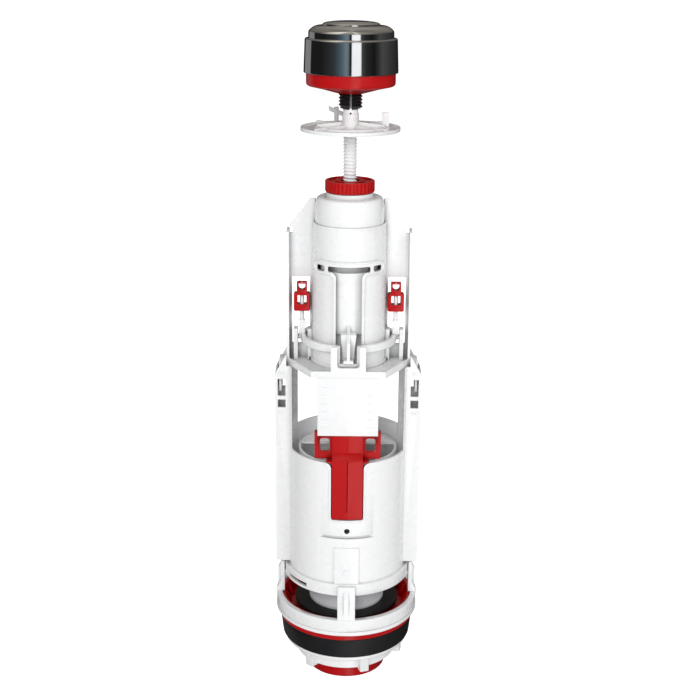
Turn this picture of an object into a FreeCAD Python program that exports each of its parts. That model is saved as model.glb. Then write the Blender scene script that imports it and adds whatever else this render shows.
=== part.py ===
"""Dual-flush valve for a toilet cistern, as a bench assembly of separate pieces.

Millimetres, +Z up. The origin is on the valve's axis at the bottom of the outlet
spigot, and the front, with the volume slider, faces -Y.
"""
import FreeCAD, Part
import math
import os

import Sketcher

document = FreeCAD.newDocument("flush_valve")


# Sizes that can be set by themselves

SIZES = {
    # Outlet seat with its spigot, flange and basin
    "spigot_length": 31.4,
    "spigot_radius": 21.83,
    "spigot_wall": 2.4,
    "spigot_lead": 7.0,
    "spigot_thread_proud": 0.45,
    "flange_radius": 37.4,
    "flange_height": 5.1,
    "basin_radius": 35.9,
    "basin_wall": 1.5,
    "basin_height": 7.0,
    "basin_floor_depth": 1.5,
    "seat_lip_radius": 23.6,
    "seat_lip_width": 1.4,
    "seat_lip_height": 3.2,
    # Gasket and back nut
    "gasket_height": 11.75,
    "gasket_radius": 36.66,
    "gasket_foot_radius": 35.5,
    "gasket_edge": 1.0,
    "gasket_gap": 0.3,
    "nut_height": 10.6,
    "nut_flange_radius": 34.3,
    "nut_flange_thickness": 2.2,
    "nut_barrel_radius": 27.8,
    "nut_lug_count": 6,
    "nut_lug_reach": 3.6,
    "nut_lug_width": 5.0,
    "nut_lug_drop": 0.8,
    # Basket ring and its legs
    "ring_height": 7.7,
    "ring_radius": 39.2,
    "ring_foot_radius": 38.6,
    "leg_width": 9.4,
    "leg_thickness": 2.0,
    "leg_overlap": 6.2,
    "leg_rib_width": 2.5,
    "leg_rib_depth": 1.9,
    "leg_count": 4,
    # Outer body
    "collar_bottom": 56.3,
    "collar_height": 6.7,
    "collar_radius": 34.3,
    "collar_wall": 1.6,
    "ledge_reach": 2.4,
    "ledge_thickness": 1.4,
    "body_radius": 32.2,
    "body_wall": 1.3,
    "body_front_height": 68.5,
    "body_back_height": 74.0,
    "post_height": 114.6,
    "front_window_half_width": 29.7,
    "back_window_half_width": 27.7,
    "channel_half_width": 8.6,
    "channel_depth": 32.0,
    "channel_corner": 1.2,
    "channel_mouth_corner": 3.0,
    "vent_height": 89.7,
    "vent_tall": 1.7,
    "vent_half_width": 15.0,
    "sight_hole_height": 93.4,
    "sight_hole_radius": 1.5,
    "panel_half_width": 6.5,
    "panel_height": 20.8,
    "panel_proud": 0.6,
    "stud_height": 69.7,
    "stud_radius": 1.5,
    "stud_proud": 0.8,
    "bayonet_slot_tall": 2.2,
    "bayonet_slot_start": 39.0,
    "bayonet_slot_sweep": 30.0,
    # Side rails of the outer body
    "rail_reach": 38.9,
    "rail_half_depth": 9.0,
    "rail_wall": 1.4,
    "rail_bottom": 65.0,
    "rail_shoulder": 173.0,
    "rail_peak": 184.0,
    "rail_inner": 32.8,
    "latch_window_inner": 33.2,
    "latch_window_outer": 37.4,
    "upper_latch_bottom": 161.0,
    "upper_latch_height": 9.5,
    "lower_latch_bottom": 154.5,
    "lower_latch_height": 4.5,
    # Volume cup inside the body
    "cup_radius": 26.6,
    "cup_wall": 1.2,
    "cup_height": 67.0,
    "cup_floor": 1.4,
    "cup_lid_edge": 5.0,
    "cup_port_half_width": 4.0,
    "cup_port_bottom": 96.0,
    "cup_port_height": 28.0,
    # Volume slider and its scale plate
    "slider_half_width": 17.3,
    "slider_bar_thickness": 1.6,
    "slider_bar_gap": 1.8,
    "slider_bar_height": 15.4,
    "slider_bar_lift": 0.3,
    "slider_stem_bottom": 100.0,
    "slider_stem_gap": 0.5,
    "slider_stem_depth": 31.0,
    "slider_crease": 0.9,
    "slider_wing": 2.2,
    "slider_wing_thickness": 1.4,
    "slider_step_height": 2.9,
    "slider_eye_centre": 12.0,
    "slider_eye_width": 4.9,
    "slider_eye_height": 7.4,
    "slider_eye_corner": 1.3,
    "slider_eye_lift": 4.0,
    "slider_ear_width": 1.3,
    "slider_ear_height": 6.6,
    "plate_half_width": 15.8,
    "plate_thickness": 1.4,
    "plate_height": 31.8,
    # Lift tube, plunger and float
    "tube_radius": 9.3,
    "tube_wall": 1.2,
    "tube_bottom": 36.0,
    "tube_top": 212.0,
    "seal_radius": 28.5,
    "seal_thickness": 2.2,
    "seal_gap": 0.3,
    "disc_radius": 20.74,
    "disc_rim": 1.5,
    "disc_hub_wall": 2.2,
    "disc_hub_height": 15.0,
    "disc_cone_height": 9.0,
    "retainer_radius": 18.4,
    "retainer_thickness": 2.6,
    "float_radius": 24.2,
    "float_wall": 1.3,
    "float_bottom": 92.0,
    "float_height": 24.0,
    "lift_arm_half_width": 2.4,
    "lift_arm_thickness": 3.6,
    "lift_arm_overhang": 1.2,
    "arm_slot_gap": 1.0,
    "lift_travel": 9.1,
    # Shelf frame that carries the head
    "shelf_half_width": 32.6,
    "shelf_half_depth": 28.2,
    "shelf_side_half_depth": 5.0,
    "shelf_flat_half_width": 19.2,
    "shelf_mid_x": 25.4,
    "shelf_mid_y": 17.6,
    "shelf_thickness": 2.0,
    "shelf_rim_height": 1.4,
    "shelf_rim_width": 1.3,
    "shelf_hole_gap": 1.2,
    "side_wall_thickness": 1.3,
    "side_wall_height": 69.4,
    "side_wall_front": 5.0,
    "side_wall_back": 7.0,
    "tongue_outer": 36.8,
    "tongue_thickness": 1.4,
    "tongue_half_depth": 6.0,
    "tongue_length": 16.6,
    "bracket_half_width": 9.0,
    "bracket_gap_half_width": 5.7,
    "bracket_height": 14.4,
    "bracket_foot": 3.2,
    "bracket_thickness": 1.7,
    "bracket_corner": 1.6,
    "well_half_width": 7.0,
    "well_back": 15.5,
    # Head housing with its wings
    "head_radius": 19.5,
    "head_top_radius": 19.0,
    "head_wall": 0.8,
    "head_height": 74.1,
    "head_taper_height": 31.4,
    "head_foot": 1.6,
    "head_foot_width": 1.5,
    "tee_half_width": 18.0,
    "tee_top": 236.3,
    "tee_bottom": 229.5,
    "tee_leg_half_width": 6.7,
    "tee_rim": 1.3,
    "tee_rim_proud": 0.8,
    "tee_slot_height": 2.2,
    "tee_slot_bottom": 230.8,
    "tee_centre_slot": 10.8,
    "tee_side_slot_inner": 12.9,
    "tee_side_slot_outer": 16.1,
    "tee_fillet": 3.0,
    "tee_end_corner": 2.9,
    "wing_front": 3.2,
    "wing_thickness": 1.6,
    "wing_shoulder": 250.5,
    "wing_peak": 267.5,
    "wing_peak_inner": 18.7,
    "wing_window_inner": 20.6,
    "wing_window_outer": 30.0,
    "wing_window_bottom": 187.0,
    "wing_window_top": 223.5,
    "hook_slot_width": 1.8,
    "hook_slot_height": 3.6,
    # Pivot posts and the lift yoke
    "pivot_height": 191.7,
    "pivot_radius": 1.4,
    "pivot_clearance": 0.06,
    "post_half_depth": 3.2,
    "post_above_pivot": 4.8,
    "outer_post_inner": 26.9,
    "outer_post_outer": 29.0,
    "inner_post_inner": 19.4,
    "inner_post_outer": 21.6,
    "yoke_radius": 24.0,
    "yoke_width": 2.5,
    "yoke_height": 3.8,
    "yoke_drop_inner": 4.4,
    "yoke_drop_outer": 6.3,
    "yoke_bar_radius": 1.1,
    "yoke_bar_drop": 8.6,
    "arm_centre": 24.7,
    "arm_width": 3.0,
    "arm_depth": 2.8,
    "arm_height": 7.4,
    "rod_pin_radius": 1.15,
    "rod_pin_top": 217.0,
    # Adjuster clips on the yoke's rods
    "clip_bottom": 206.0,
    "clip_width": 8.6,
    "clip_height": 9.8,
    "clip_depth": 5.0,
    "clip_neck_width": 5.6,
    "clip_neck_height": 5.6,
    "clip_window_width": 4.9,
    "clip_window_height": 5.0,
    "clip_window_lift": 3.6,
    "clip_notch_radius": 1.7,
    "clip_fit": 0.05,
    # Guide tube and return spring
    "guide_bore": 10.0,
    "guide_wall": 1.2,
    "guide_height": 56.4,
    "guide_ledge_radius": 12.8,
    "guide_ledge_thickness": 2.0,
    "return_spring_radius": 11.4,
    "return_wire_radius": 0.6,
    "return_turns": 7,
    # Press cap, sleeve and keel
    "cap_travel": 8.0,
    "cap_radius": 17.95,
    "cap_top_radius": 16.4,
    "cap_wall": 1.5,
    "cap_top": 267.0,
    "cap_shoulder": 9.0,
    "cap_top_corner": 2.4,
    "cap_skirt": 23.0,
    "cap_boss_radius": 12.2,
    "cap_boss_height": 2.3,
    "collet_radius": 5.0,
    "collet_height": 5.2,
    "sleeve_radius": 15.2,
    "sleeve_wall": 1.3,
    "sleeve_bottom": 197.0,
    "sleeve_flange_height": 6.0,
    "gallery_height": 5.0,
    "keel_half_width": 4.0,
    "keel_foot_half_width": 2.6,
    "keel_rib_half_width": 0.8,
    "keel_front": 26.0,
    "keel_panel_front": 21.5,
    "keel_back": 17.4,
    "keel_foot_height": 1.6,
    "contact_gap": 0.2,
    "slide_gap": 0.25,
    # Lock nut
    "lock_nut_radius": 12.8,
    "lock_nut_height": 5.8,
    "lock_nut_flutes": 36,
    "flute_radius": 0.45,
    "lock_recess_outer": 11.0,
    "lock_recess_inner": 7.6,
    "lock_recess_depth": 0.9,
    "running_clearance": 0.08,
    # Threaded rod and press disc
    "rod_radius": 3.7,
    "rod_bottom": 245.5,
    "rod_tip_radius": 2.5,
    "rod_tip_length": 5.5,
    "press_disc_bottom": 300.5,
    "press_disc_radius": 25.3,
    "press_disc_thickness": 1.3,
    "press_disc_rim_height": 0.6,
    "press_disc_rim_width": 0.9,
    "press_hub_radius": 4.2,
    "press_hub_height": 8.4,
    "press_finger_radius": 3.9,
    "press_finger_height": 2.4,
    "press_finger_slot": 1.0,
    "press_rib_height": 3.0,
    "press_rib_width": 1.1,
    "press_rib_angle": 45.0,
    "press_rib_count": 4,
    "press_ring_radius": 17.0,
    "press_tab_x": 16.0,
    "press_tab_width": 3.6,
    "press_tab_height": 7.4,
    "press_tab_thickness": 1.3,
    "press_tab_y": 3.0,
    "hook_x": 7.2,
    "hook_y": 7.0,
    "hook_post_radius": 1.1,
    "hook_post_height": 9.6,
    "hook_blade_length": 7.8,
    "hook_blade_height": 2.2,
    "hook_blade_width": 1.6,
    "hook_blade_lift": 4.6,
    "hook_blade_fall": 3.1,
    # Push button
    "shank_bottom": 311.6,
    "shank_radius": 6.13,
    "shank_bore_gap": 0.12,
    "shank_slot_width": 1.0,
    "shank_flange_radius": 9.8,
    "shank_flange_thickness": 2.0,
    "cup_neck_bottom": 319.0,
    "cup_neck_radius": 6.6,
    "cup_knee_radius": 15.4,
    "cup_knee_height": 321.4,
    "cup_edge_height": 323.0,
    "button_cup_radius": 22.5,
    "button_cup_wall": 2.0,
    "button_cup_corner": 1.6,
    "bezel_bottom": 329.2,
    "bezel_radius": 23.77,
    "bezel_top_radius": 23.15,
    "bezel_height": 16.9,
    "bezel_flange_inner": 19.6,
    "bezel_flange_thickness": 1.8,
    "bezel_edge": 0.5,
    "button_radius": 21.4,
    "button_gap": 0.35,
    "button_wall": 1.3,
    "button_shoulder_height": 349.3,
    "button_shoulder_corner": 1.2,
    "button_top_height": 352.5,
    "button_skirt": 9.0,
    "well_radius": 14.6,
    "well_depth": 6.3,
    "well_floor": 1.4,
    "button_hub_wall": 2.0,
    "button_hub_length": 10.5,
    "half_gap": 0.3,
    "half_edge_height": 352.9,
    "half_edge_bevel": 0.8,
    "half_crown": 0.8,
    "half_wall": 1.2,
    "half_skirt": 3.6,
    "half_travel": 3.0,
    "half_stem_radius": 2.4,
    "half_stem_bottom": 340.3,
    "full_spring_radius": 8.4,
    "full_wire_radius": 0.45,
    "full_turns": 6,
    "half_spring_radius": 8.0,
    "half_wire_radius": 0.35,
    "half_turns": 3,
    "coil_steps": 10,
    "soft_edge": 0.5,
    "fine_edge": 0.25,
}


# Sizes that remember the sheet cell they come from

class Size:
    """A number with the sheet formula behind it, so that a property can be bound to it."""

    def __init__(self, value, formula):
        self.value = float(value)
        self.formula = formula

    @staticmethod
    def of(item):
        return item if isinstance(item, Size) else Size(item, repr(float(item)))

    def joined(self, other, sign, value):
        return Size(value, "(" + self.formula + sign + Size.of(other).formula + ")")

    def __add__(self, other):
        return self.joined(other, " + ", self.value + Size.of(other).value)

    def __sub__(self, other):
        return self.joined(other, " - ", self.value - Size.of(other).value)

    def __mul__(self, other):
        return self.joined(other, " * ", self.value * Size.of(other).value)

    def __truediv__(self, other):
        return self.joined(other, " / ", self.value / Size.of(other).value)

    def __radd__(self, other):
        return Size.of(other) + self

    def __rsub__(self, other):
        return Size.of(other) - self

    def __rmul__(self, other):
        return Size.of(other) * self

    def __neg__(self):
        return Size(-self.value, "(-" + self.formula + ")")


def root(size):
    """The square root of a size."""
    return Size(math.sqrt(size.value), "sqrt(" + size.formula + ")")


def sine(degrees):
    return Size(math.sin(math.radians(degrees.value)), "sin(" + degrees.formula + ")")


def cosine(degrees):
    return Size(math.cos(math.radians(degrees.value)), "cos(" + degrees.formula + ")")


def across(radius, offset):
    """How far a circle reaches at a given offset from its centre line."""
    return root(radius * radius - offset * offset)


class SizeSheet:
    """The spreadsheet of driving sizes, read by name."""

    def __init__(self, sizes):
        self.sheet = document.addObject("Spreadsheet::Sheet", "Sizes")
        self.sizes = sizes
        for row, (name, value) in enumerate(sizes.items(), start=1):
            self.sheet.set("A%d" % row, name.replace("_", " "))
            self.sheet.set("B%d" % row, repr(value))
            self.sheet.setAlias("B%d" % row, name)

    def __getattr__(self, name):
        return Size(self.sizes[name], "Sizes." + name)


size = SizeSheet(SIZES)
document.recompute()


# Building blocks

pieces = []


def bind(item, path, value):
    """Tie a property of an object to a size."""
    item.setExpression(path, Size.of(value).formula)


def tangent_points(before, corner, after, radius):
    """Where an arc of the given radius meets the two sides of a corner."""
    towards = []
    for point in (before, after):
        dx = point[0] - corner[0]
        dy = point[1] - corner[1]
        length = root(dx * dx + dy * dy)
        towards.append((dx / length, dy / length))
    (ux, uy), (vx, vy) = towards
    cosine_between = ux * vx + uy * vy
    reach = radius * root((1 + cosine_between) / (1 - cosine_between))
    return (
        (corner[0] + ux * reach, corner[1] + uy * reach),
        (corner[0] + vx * reach, corner[1] + vy * reach),
    )


def draw_outline(sketch, corners):
    """Draw a closed outline; a corner (x, y, radius) is rounded, and (x, y) is sharp."""
    count = len(corners)
    plain = [(Size.of(c[0]), Size.of(c[1])) for c in corners]
    runs = []
    for index, corner in enumerate(corners):
        if len(corner) == 3:
            before = plain[index - 1]
            after = plain[(index + 1) % count]
            start, end = tangent_points(before, plain[index], after, Size.of(corner[2]))
            runs.append((start, end, Size.of(corner[2]), plain[index]))
        else:
            runs.append((plain[index], plain[index], None, plain[index]))
    edges = []
    for index, (start, end, radius, corner) in enumerate(runs):
        if radius is not None:
            edges.append((start, end, radius, corner))
        edges.append((end, runs[(index + 1) % count][0], None, None))
    near = []
    for start, end, radius, corner in edges:
        first = FreeCAD.Vector(start[0].value, start[1].value, 0)
        last = FreeCAD.Vector(end[0].value, end[1].value, 0)
        edge = Part.LineSegment(first, last)
        backwards = False
        if radius is not None:
            tip = FreeCAD.Vector(corner[0].value, corner[1].value, 0)
            edge, backwards = corner_arc(first, last, radius.value, tip)
        sketch.addGeometry(edge, False)
        near.append(2 if backwards else 1)
    constraints = []
    formulas = {}
    for index, (start, end, radius, corner) in enumerate(edges):
        following = (index + 1) % len(edges)
        constraints.append(Sketcher.Constraint(
            "Coincident", index, 3 - near[index], following, near[following]))
        for kind, value in (("DistanceX", start[0]), ("DistanceY", start[1])):
            formulas[len(constraints)] = value.formula
            constraints.append(Sketcher.Constraint(kind, -1, 1, index, near[index], value.value))
        if radius is not None:
            formulas[len(constraints)] = radius.formula
            constraints.append(Sketcher.Constraint("Radius", index, radius.value))
    sketch.addConstraint(constraints)
    for number, formula in formulas.items():
        sketch.setExpression("Constraints[%d]" % number, formula)


def corner_arc(first, last, radius, tip):
    """The arc that rounds a corner, and whether it runs from the last point to the first."""
    middle = (first + last) * 0.5
    half_chord = (last - first).Length / 2
    depth = math.sqrt(max(radius * radius - half_chord * half_chord, 0.0))
    centre = middle + (middle - tip).normalize() * depth
    begin = math.atan2(first.y - centre.y, first.x - centre.x)
    finish = math.atan2(last.y - centre.y, last.x - centre.x)
    backwards = (finish - begin) % (2 * math.pi) > math.pi
    if backwards:
        begin, finish = finish, begin
    sweep = (finish - begin) % (2 * math.pi)
    circle = Part.Circle(centre, FreeCAD.Vector(0, 0, 1), radius)
    return Part.ArcOfCircle(circle, begin, begin + sweep), backwards


def rectangle(left, right, low, high, corner=None):
    """The four corners of a rectangle, rounded if a corner radius is given."""
    extra = () if corner is None else (corner,)
    return [(left, low) + extra, (right, low) + extra, (right, high) + extra, (left, high) + extra]


class Solid:
    """A piece built up feature by feature in a body of its own."""

    def __init__(self, label):
        self.body = document.addObject("PartDesign::Body", label)
        self.label = label
        self.count = 0

    def plane(self, role):
        return [p for p in self.body.Origin.OriginFeatures if p.Role == role + "_Plane"][0]

    def name(self, kind):
        self.count += 1
        return "%s_%s_%d" % (self.label, kind, self.count)

    def sketch(self, role, corners, offset=None):
        sketch = self.body.newObject("Sketcher::SketchObject", self.name("sketch"))
        sketch.AttachmentSupport = [(self.plane(role), "")]
        sketch.MapMode = "FlatFace"
        if offset is not None:
            bind(sketch, "AttachmentOffset.Base.z", offset)
        draw_outline(sketch, corners)
        return sketch

    def turn(self, corners, kind="Revolution"):
        """Turn a section, given as radius and height, about the vertical axis."""
        sketch = self.sketch("XZ", corners)
        feature = self.body.newObject("PartDesign::" + kind, self.name(kind.lower()))
        feature.Profile = sketch
        feature.ReferenceAxis = (sketch, ["V_Axis"])
        feature.Angle = 360.0
        return feature

    def groove(self, corners):
        return self.turn(corners, "Groove")

    def pad(self, role, corners, start, end):
        """Add a prism that runs from start to end along the plane's axis."""
        start = Size.of(start)
        end = Size.of(end)
        offset = -end if role == "XZ" else start
        feature = self.body.newObject("PartDesign::Pad", self.name("pad"))
        feature.Profile = self.sketch(role, corners, offset)
        bind(feature, "Length", end - start)
        return feature

    def pocket(self, role, corners, start, end):
        """Cut a prism that runs from start to end along the plane's axis."""
        start = Size.of(start)
        end = Size.of(end)
        offset = -start if role == "XZ" else end
        feature = self.body.newObject("PartDesign::Pocket", self.name("pocket"))
        feature.Profile = self.sketch(role, corners, offset)
        bind(feature, "Length", end - start)
        return feature

    def around(self, features, count):
        """Repeat features evenly about the vertical axis."""
        pattern = self.body.newObject("PartDesign::PolarPattern", self.name("pattern"))
        pattern.Originals = features
        axis = [a for a in self.body.Origin.OriginFeatures if a.Role == "Z_Axis"][0]
        pattern.Axis = (axis, [""])
        pattern.Angle = 360.0
        bind(pattern, "Occurrences", count)
        self.body.Tip = pattern
        return pattern

    def mirror(self, features):
        """Repeat features on the other side of the valve's middle plane."""
        mirrored = self.body.newObject("PartDesign::Mirrored", self.name("mirror"))
        mirrored.Originals = features
        mirrored.MirrorPlane = (self.plane("YZ"), [""])
        self.body.Tip = mirrored
        return mirrored

    def done(self):
        pieces.append(self.body)
        return self.body


def circle_cut(solid, role, centre_x, centre_y, radius, start, end):
    """Drill a round hole along a plane's axis."""
    return round_feature(solid, role, centre_x, centre_y, radius, start, end, "Pocket")


def circle_pad(solid, role, centre_x, centre_y, radius, start, end):
    """Add a round boss along a plane's axis."""
    return round_feature(solid, role, centre_x, centre_y, radius, start, end, "Pad")


def round_feature(solid, role, centre_x, centre_y, radius, start, end, kind):
    start = Size.of(start)
    end = Size.of(end)
    centre_x = Size.of(centre_x)
    centre_y = Size.of(centre_y)
    outwards = kind == "Pad"
    near = -end if outwards else -start
    offset = near if role == "XZ" else (start if outwards else end)
    sketch = solid.body.newObject("Sketcher::SketchObject", solid.name("circle"))
    sketch.AttachmentSupport = [(solid.plane(role), "")]
    sketch.MapMode = "FlatFace"
    bind(sketch, "AttachmentOffset.Base.z", offset)
    centre = FreeCAD.Vector(centre_x.value, centre_y.value, 0)
    sketch.addGeometry(Part.Circle(centre, FreeCAD.Vector(0, 0, 1), radius.value), False)
    sketch.addConstraint(Sketcher.Constraint("Radius", 0, radius.value))
    sketch.addConstraint(Sketcher.Constraint("DistanceX", -1, 1, 0, 3, centre_x.value))
    sketch.addConstraint(Sketcher.Constraint("DistanceY", -1, 1, 0, 3, centre_y.value))
    sketch.setExpression("Constraints[0]", radius.formula)
    sketch.setExpression("Constraints[1]", centre_x.formula)
    sketch.setExpression("Constraints[2]", centre_y.formula)
    feature = solid.body.newObject("PartDesign::" + kind, solid.name(kind.lower()))
    feature.Profile = sketch
    bind(feature, "Length", end - start)
    return feature


def coil(label, radius, wire, bottom, top, turns):
    """A compression spring between two seats, in short straight runs of six-sided wire."""
    steps = round(turns.value) * size.coil_steps.value
    low = bottom + wire
    rise = top - bottom - 2 * wire
    path = document.addObject("Part::Polygon", label + "_path")
    nodes = []
    for step in range(int(steps) + 1):
        angle = 2 * math.pi * step / size.coil_steps.value
        nodes.append(FreeCAD.Vector(
            radius.value * math.cos(angle),
            radius.value * math.sin(angle),
            rise.value * step / steps))
    path.Nodes = nodes
    bind(path, "Placement.Base.z", low)
    section = document.addObject("Part::RegularPolygon", label + "_wire")
    section.Polygon = 6
    bind(section, "Circumradius", wire)
    section.Placement = FreeCAD.Placement(
        FreeCAD.Vector(radius.value, 0, low.value),
        FreeCAD.Rotation(FreeCAD.Vector(1, 0, 0), 90))
    bind(section, "Placement.Base.x", radius)
    bind(section, "Placement.Base.z", low)
    sweep = document.addObject("Part::Sweep", label)
    sweep.Sections = [section]
    sweep.Spine = (path, [])
    sweep.Solid = True
    sweep.Transition = "Right corner"
    sweep.Label = label
    pieces.append(sweep)
    return sweep


# Heights and radii that follow from the sizes

flange_top = size.spigot_length + size.flange_height
basin_top = flange_top + size.basin_height
basin_floor = flange_top - size.basin_floor_depth
seat_lip_top = basin_floor + size.seat_lip_height
spigot_bore = size.spigot_radius - size.spigot_wall
thread_radius = size.spigot_radius + size.spigot_thread_proud
gasket_bottom = size.spigot_length - size.gasket_height
nut_top = gasket_bottom - size.contact_gap
nut_bottom = nut_top - size.nut_height
ring_top = flange_top + size.ring_height
ring_inner = size.basin_radius + size.contact_gap
collar_top = size.collar_bottom + size.collar_height
body_inner = size.body_radius - size.body_wall
body_front_top = collar_top + size.body_front_height
body_back_top = collar_top + size.body_back_height
post_top = collar_top + size.post_height
ledge_bore = body_inner - size.ledge_reach
cup_bottom = collar_top
cup_top = cup_bottom + size.cup_height
tube_fit = size.tube_radius + size.running_clearance
seal_bottom = seat_lip_top + size.seal_gap
seal_top = seal_bottom + size.seal_thickness
retainer_bottom = seal_bottom - size.retainer_thickness
shelf_top = post_top + size.shelf_thickness
shelf_rim_top = shelf_top + size.shelf_rim_height
head_inner = size.head_radius - size.head_wall
head_top_inner = size.head_top_radius - size.head_wall
head_top = shelf_top + size.head_height
head_taper_top = shelf_top + size.head_taper_height
yoke_bottom = size.pivot_height - size.yoke_height / 2
yoke_top = size.pivot_height + size.yoke_height / 2
yoke_outer = size.yoke_radius + size.yoke_width / 2
yoke_inner = size.yoke_radius - size.yoke_width / 2
yoke_bar_top = size.pivot_height - size.yoke_bar_drop + size.yoke_bar_radius
keel_bottom = yoke_bar_top + size.contact_gap
arm_bottom = yoke_top + size.seal_gap
guide_top = shelf_top + size.guide_height
guide_outer = size.guide_bore + size.guide_wall
cap_skirt_bottom = size.cap_top - size.cap_skirt
cap_ceiling = size.cap_top - size.cap_wall
boss_top = size.cap_top + size.cap_boss_height
rod_fit = size.rod_radius + size.running_clearance
hub_top = size.press_disc_bottom + size.press_hub_height
finger_top = hub_top + size.press_finger_height
press_disc_top = size.press_disc_bottom + size.press_disc_thickness
bezel_top = size.bezel_bottom + size.bezel_height

well_bottom = size.button_top_height - size.well_depth
well_underside = well_bottom - size.well_floor
pusher_top = size.half_stem_bottom - size.half_travel - size.contact_gap * 2
cup_bore = size.shank_radius + size.running_clearance
cup_inner = size.button_cup_radius - size.button_cup_wall
pusher_radius = size.rod_radius
shank_bore = pusher_radius + size.shank_bore_gap


# Outlet: seat, gasket, back nut and basket

def make_seat_base():
    """Red outlet seat: spigot, flange, basin wall and the lip that the seal closes on."""
    solid = Solid("seat_base")
    basin_inner = size.basin_radius - size.basin_wall
    lip_inner = size.seat_lip_radius - size.seat_lip_width
    solid.turn([
        (spigot_bore, 0),
        (size.spigot_radius, 0, size.soft_edge),
        (size.spigot_radius, size.spigot_lead),
        (thread_radius, size.spigot_lead + size.spigot_thread_proud),
        (thread_radius, size.spigot_length),
        (size.flange_radius, size.spigot_length, size.soft_edge),
        (size.flange_radius, flange_top),
        (size.basin_radius, flange_top),
        (size.basin_radius, basin_top),
        (basin_inner, basin_top, size.soft_edge),
        (basin_inner, basin_floor, size.soft_edge),
        (size.seat_lip_radius, basin_floor),
        (size.seat_lip_radius, seat_lip_top, size.soft_edge),
        (lip_inner, seat_lip_top, size.soft_edge),
        (lip_inner, basin_floor),
        (spigot_bore, basin_floor - size.spigot_wall),
    ])
    return solid.done()


def make_base_gasket():
    """Thick rubber ring between the flange and the cistern floor."""
    solid = Solid("base_gasket")
    bore = thread_radius + size.gasket_gap
    solid.turn([
        (bore, gasket_bottom),
        (size.gasket_foot_radius, gasket_bottom, size.gasket_edge),
        (size.gasket_radius, size.spigot_length - size.gasket_edge * 2, size.gasket_edge),
        (size.gasket_radius, size.spigot_length, size.soft_edge),
        (bore, size.spigot_length),
    ])
    return solid.done()


def make_base_nut():
    """Back nut with a wide flange and lugs to turn it by."""
    solid = Solid("base_nut")
    bore = thread_radius + size.running_clearance
    flange_bottom = nut_top - size.nut_flange_thickness
    solid.turn([
        (bore, nut_bottom),
        (size.nut_barrel_radius, nut_bottom, size.soft_edge),
        (size.nut_barrel_radius, flange_bottom),
        (size.nut_flange_radius, flange_bottom, size.soft_edge),
        (size.nut_flange_radius, nut_top, size.soft_edge),
        (bore, nut_top),
    ])
    half = size.nut_lug_width / 2
    reach = size.nut_barrel_radius + size.nut_lug_reach
    inside = size.nut_barrel_radius - size.spigot_wall
    lug = solid.pad("XY", [
        (-half, -reach, size.soft_edge),
        (half, -reach, size.soft_edge),
        (half, -inside),
        (-half, -inside),
    ], nut_bottom - size.nut_lug_drop, flange_bottom + size.soft_edge)
    solid.around([lug], size.nut_lug_count)
    return solid.done()


def make_base_basket():
    """White ring on the flange, with four legs that hold the body over the seat."""
    solid = Solid("base_basket")
    solid.turn([
        (ring_inner, flange_top),
        (size.ring_foot_radius, flange_top, size.soft_edge),
        (size.ring_radius, ring_top, size.soft_edge),
        (ring_inner, ring_top, size.fine_edge),
    ])
    leg_inner = size.collar_radius + size.contact_gap
    leg_outer = leg_inner + size.leg_thickness
    leg_top = size.collar_bottom + size.leg_overlap
    foot = ring_top - size.soft_edge * 2
    side = size.leg_width / 2
    leg = solid.pad("YZ", [
        (-leg_outer, leg_top, size.soft_edge),
        (-leg_outer, size.collar_bottom - size.leg_overlap),
        (-size.ring_foot_radius, ring_top + size.leg_thickness),
        (-size.ring_foot_radius, foot),
        (-ring_inner - size.fine_edge, foot),
        (-ring_inner - size.fine_edge, ring_top),
        (-leg_inner, ring_top),
        (-leg_inner, leg_top),
    ], -side, side)
    rib_side = size.leg_rib_width / 2
    rib = solid.pad("YZ", [
        (-leg_outer - size.leg_rib_depth, size.collar_bottom, size.soft_edge),
        (-leg_outer - size.leg_rib_depth, foot, size.fine_edge),
        (-leg_outer, foot),
        (-leg_outer, leg_top - size.leg_thickness),
    ], -rib_side, rib_side)
    solid.around([leg, rib], size.leg_count)
    return solid.done()


# Body: shell with rails, volume cup, slider and scale plate

def make_outer_body():
    """White shell: collar, cylinder with side posts, front channel and side rails."""
    solid = Solid("outer_body")
    collar_inner = size.collar_radius - size.collar_wall
    solid.turn([
        (collar_inner, size.collar_bottom),
        (size.collar_radius, size.collar_bottom, size.soft_edge),
        (size.collar_radius, collar_top, size.soft_edge),
        (size.body_radius, collar_top),
        (size.body_radius, post_top),
        (body_inner, post_top),
        (body_inner, collar_top),
        (ledge_bore, collar_top),
        (ledge_bore, collar_top - size.ledge_thickness),
        (collar_inner, collar_top - size.ledge_thickness),
    ])
    make_rails(solid)
    add_front_panel(solid)
    solid.groove([
        (0, collar_top),
        (body_inner, collar_top),
        (body_inner, post_top + size.body_wall),
        (0, post_top + size.body_wall),
    ])
    clear = size.body_radius * 2
    front_window = rectangle(-size.front_window_half_width, size.front_window_half_width,
                             body_front_top, post_top + size.body_wall)
    solid.pocket("XZ", front_window, -clear, 0)
    back_window = rectangle(-size.back_window_half_width, size.back_window_half_width,
                            body_back_top, post_top + size.body_wall)
    solid.pocket("XZ", back_window, 0, clear)
    cut_channel(solid, clear)
    vent = rectangle(-size.vent_half_width, size.vent_half_width,
                     size.vent_height - size.vent_tall / 2, size.vent_height + size.vent_tall / 2)
    vent_plane = across(size.body_radius, size.vent_half_width)
    solid.pocket("XZ", vent, -clear, -vent_plane)
    circle_cut(solid, "XZ", 0, size.sight_hole_height, size.sight_hole_radius, -clear, 0)
    cut_bayonet_slots(solid)
    return solid.done()


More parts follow.
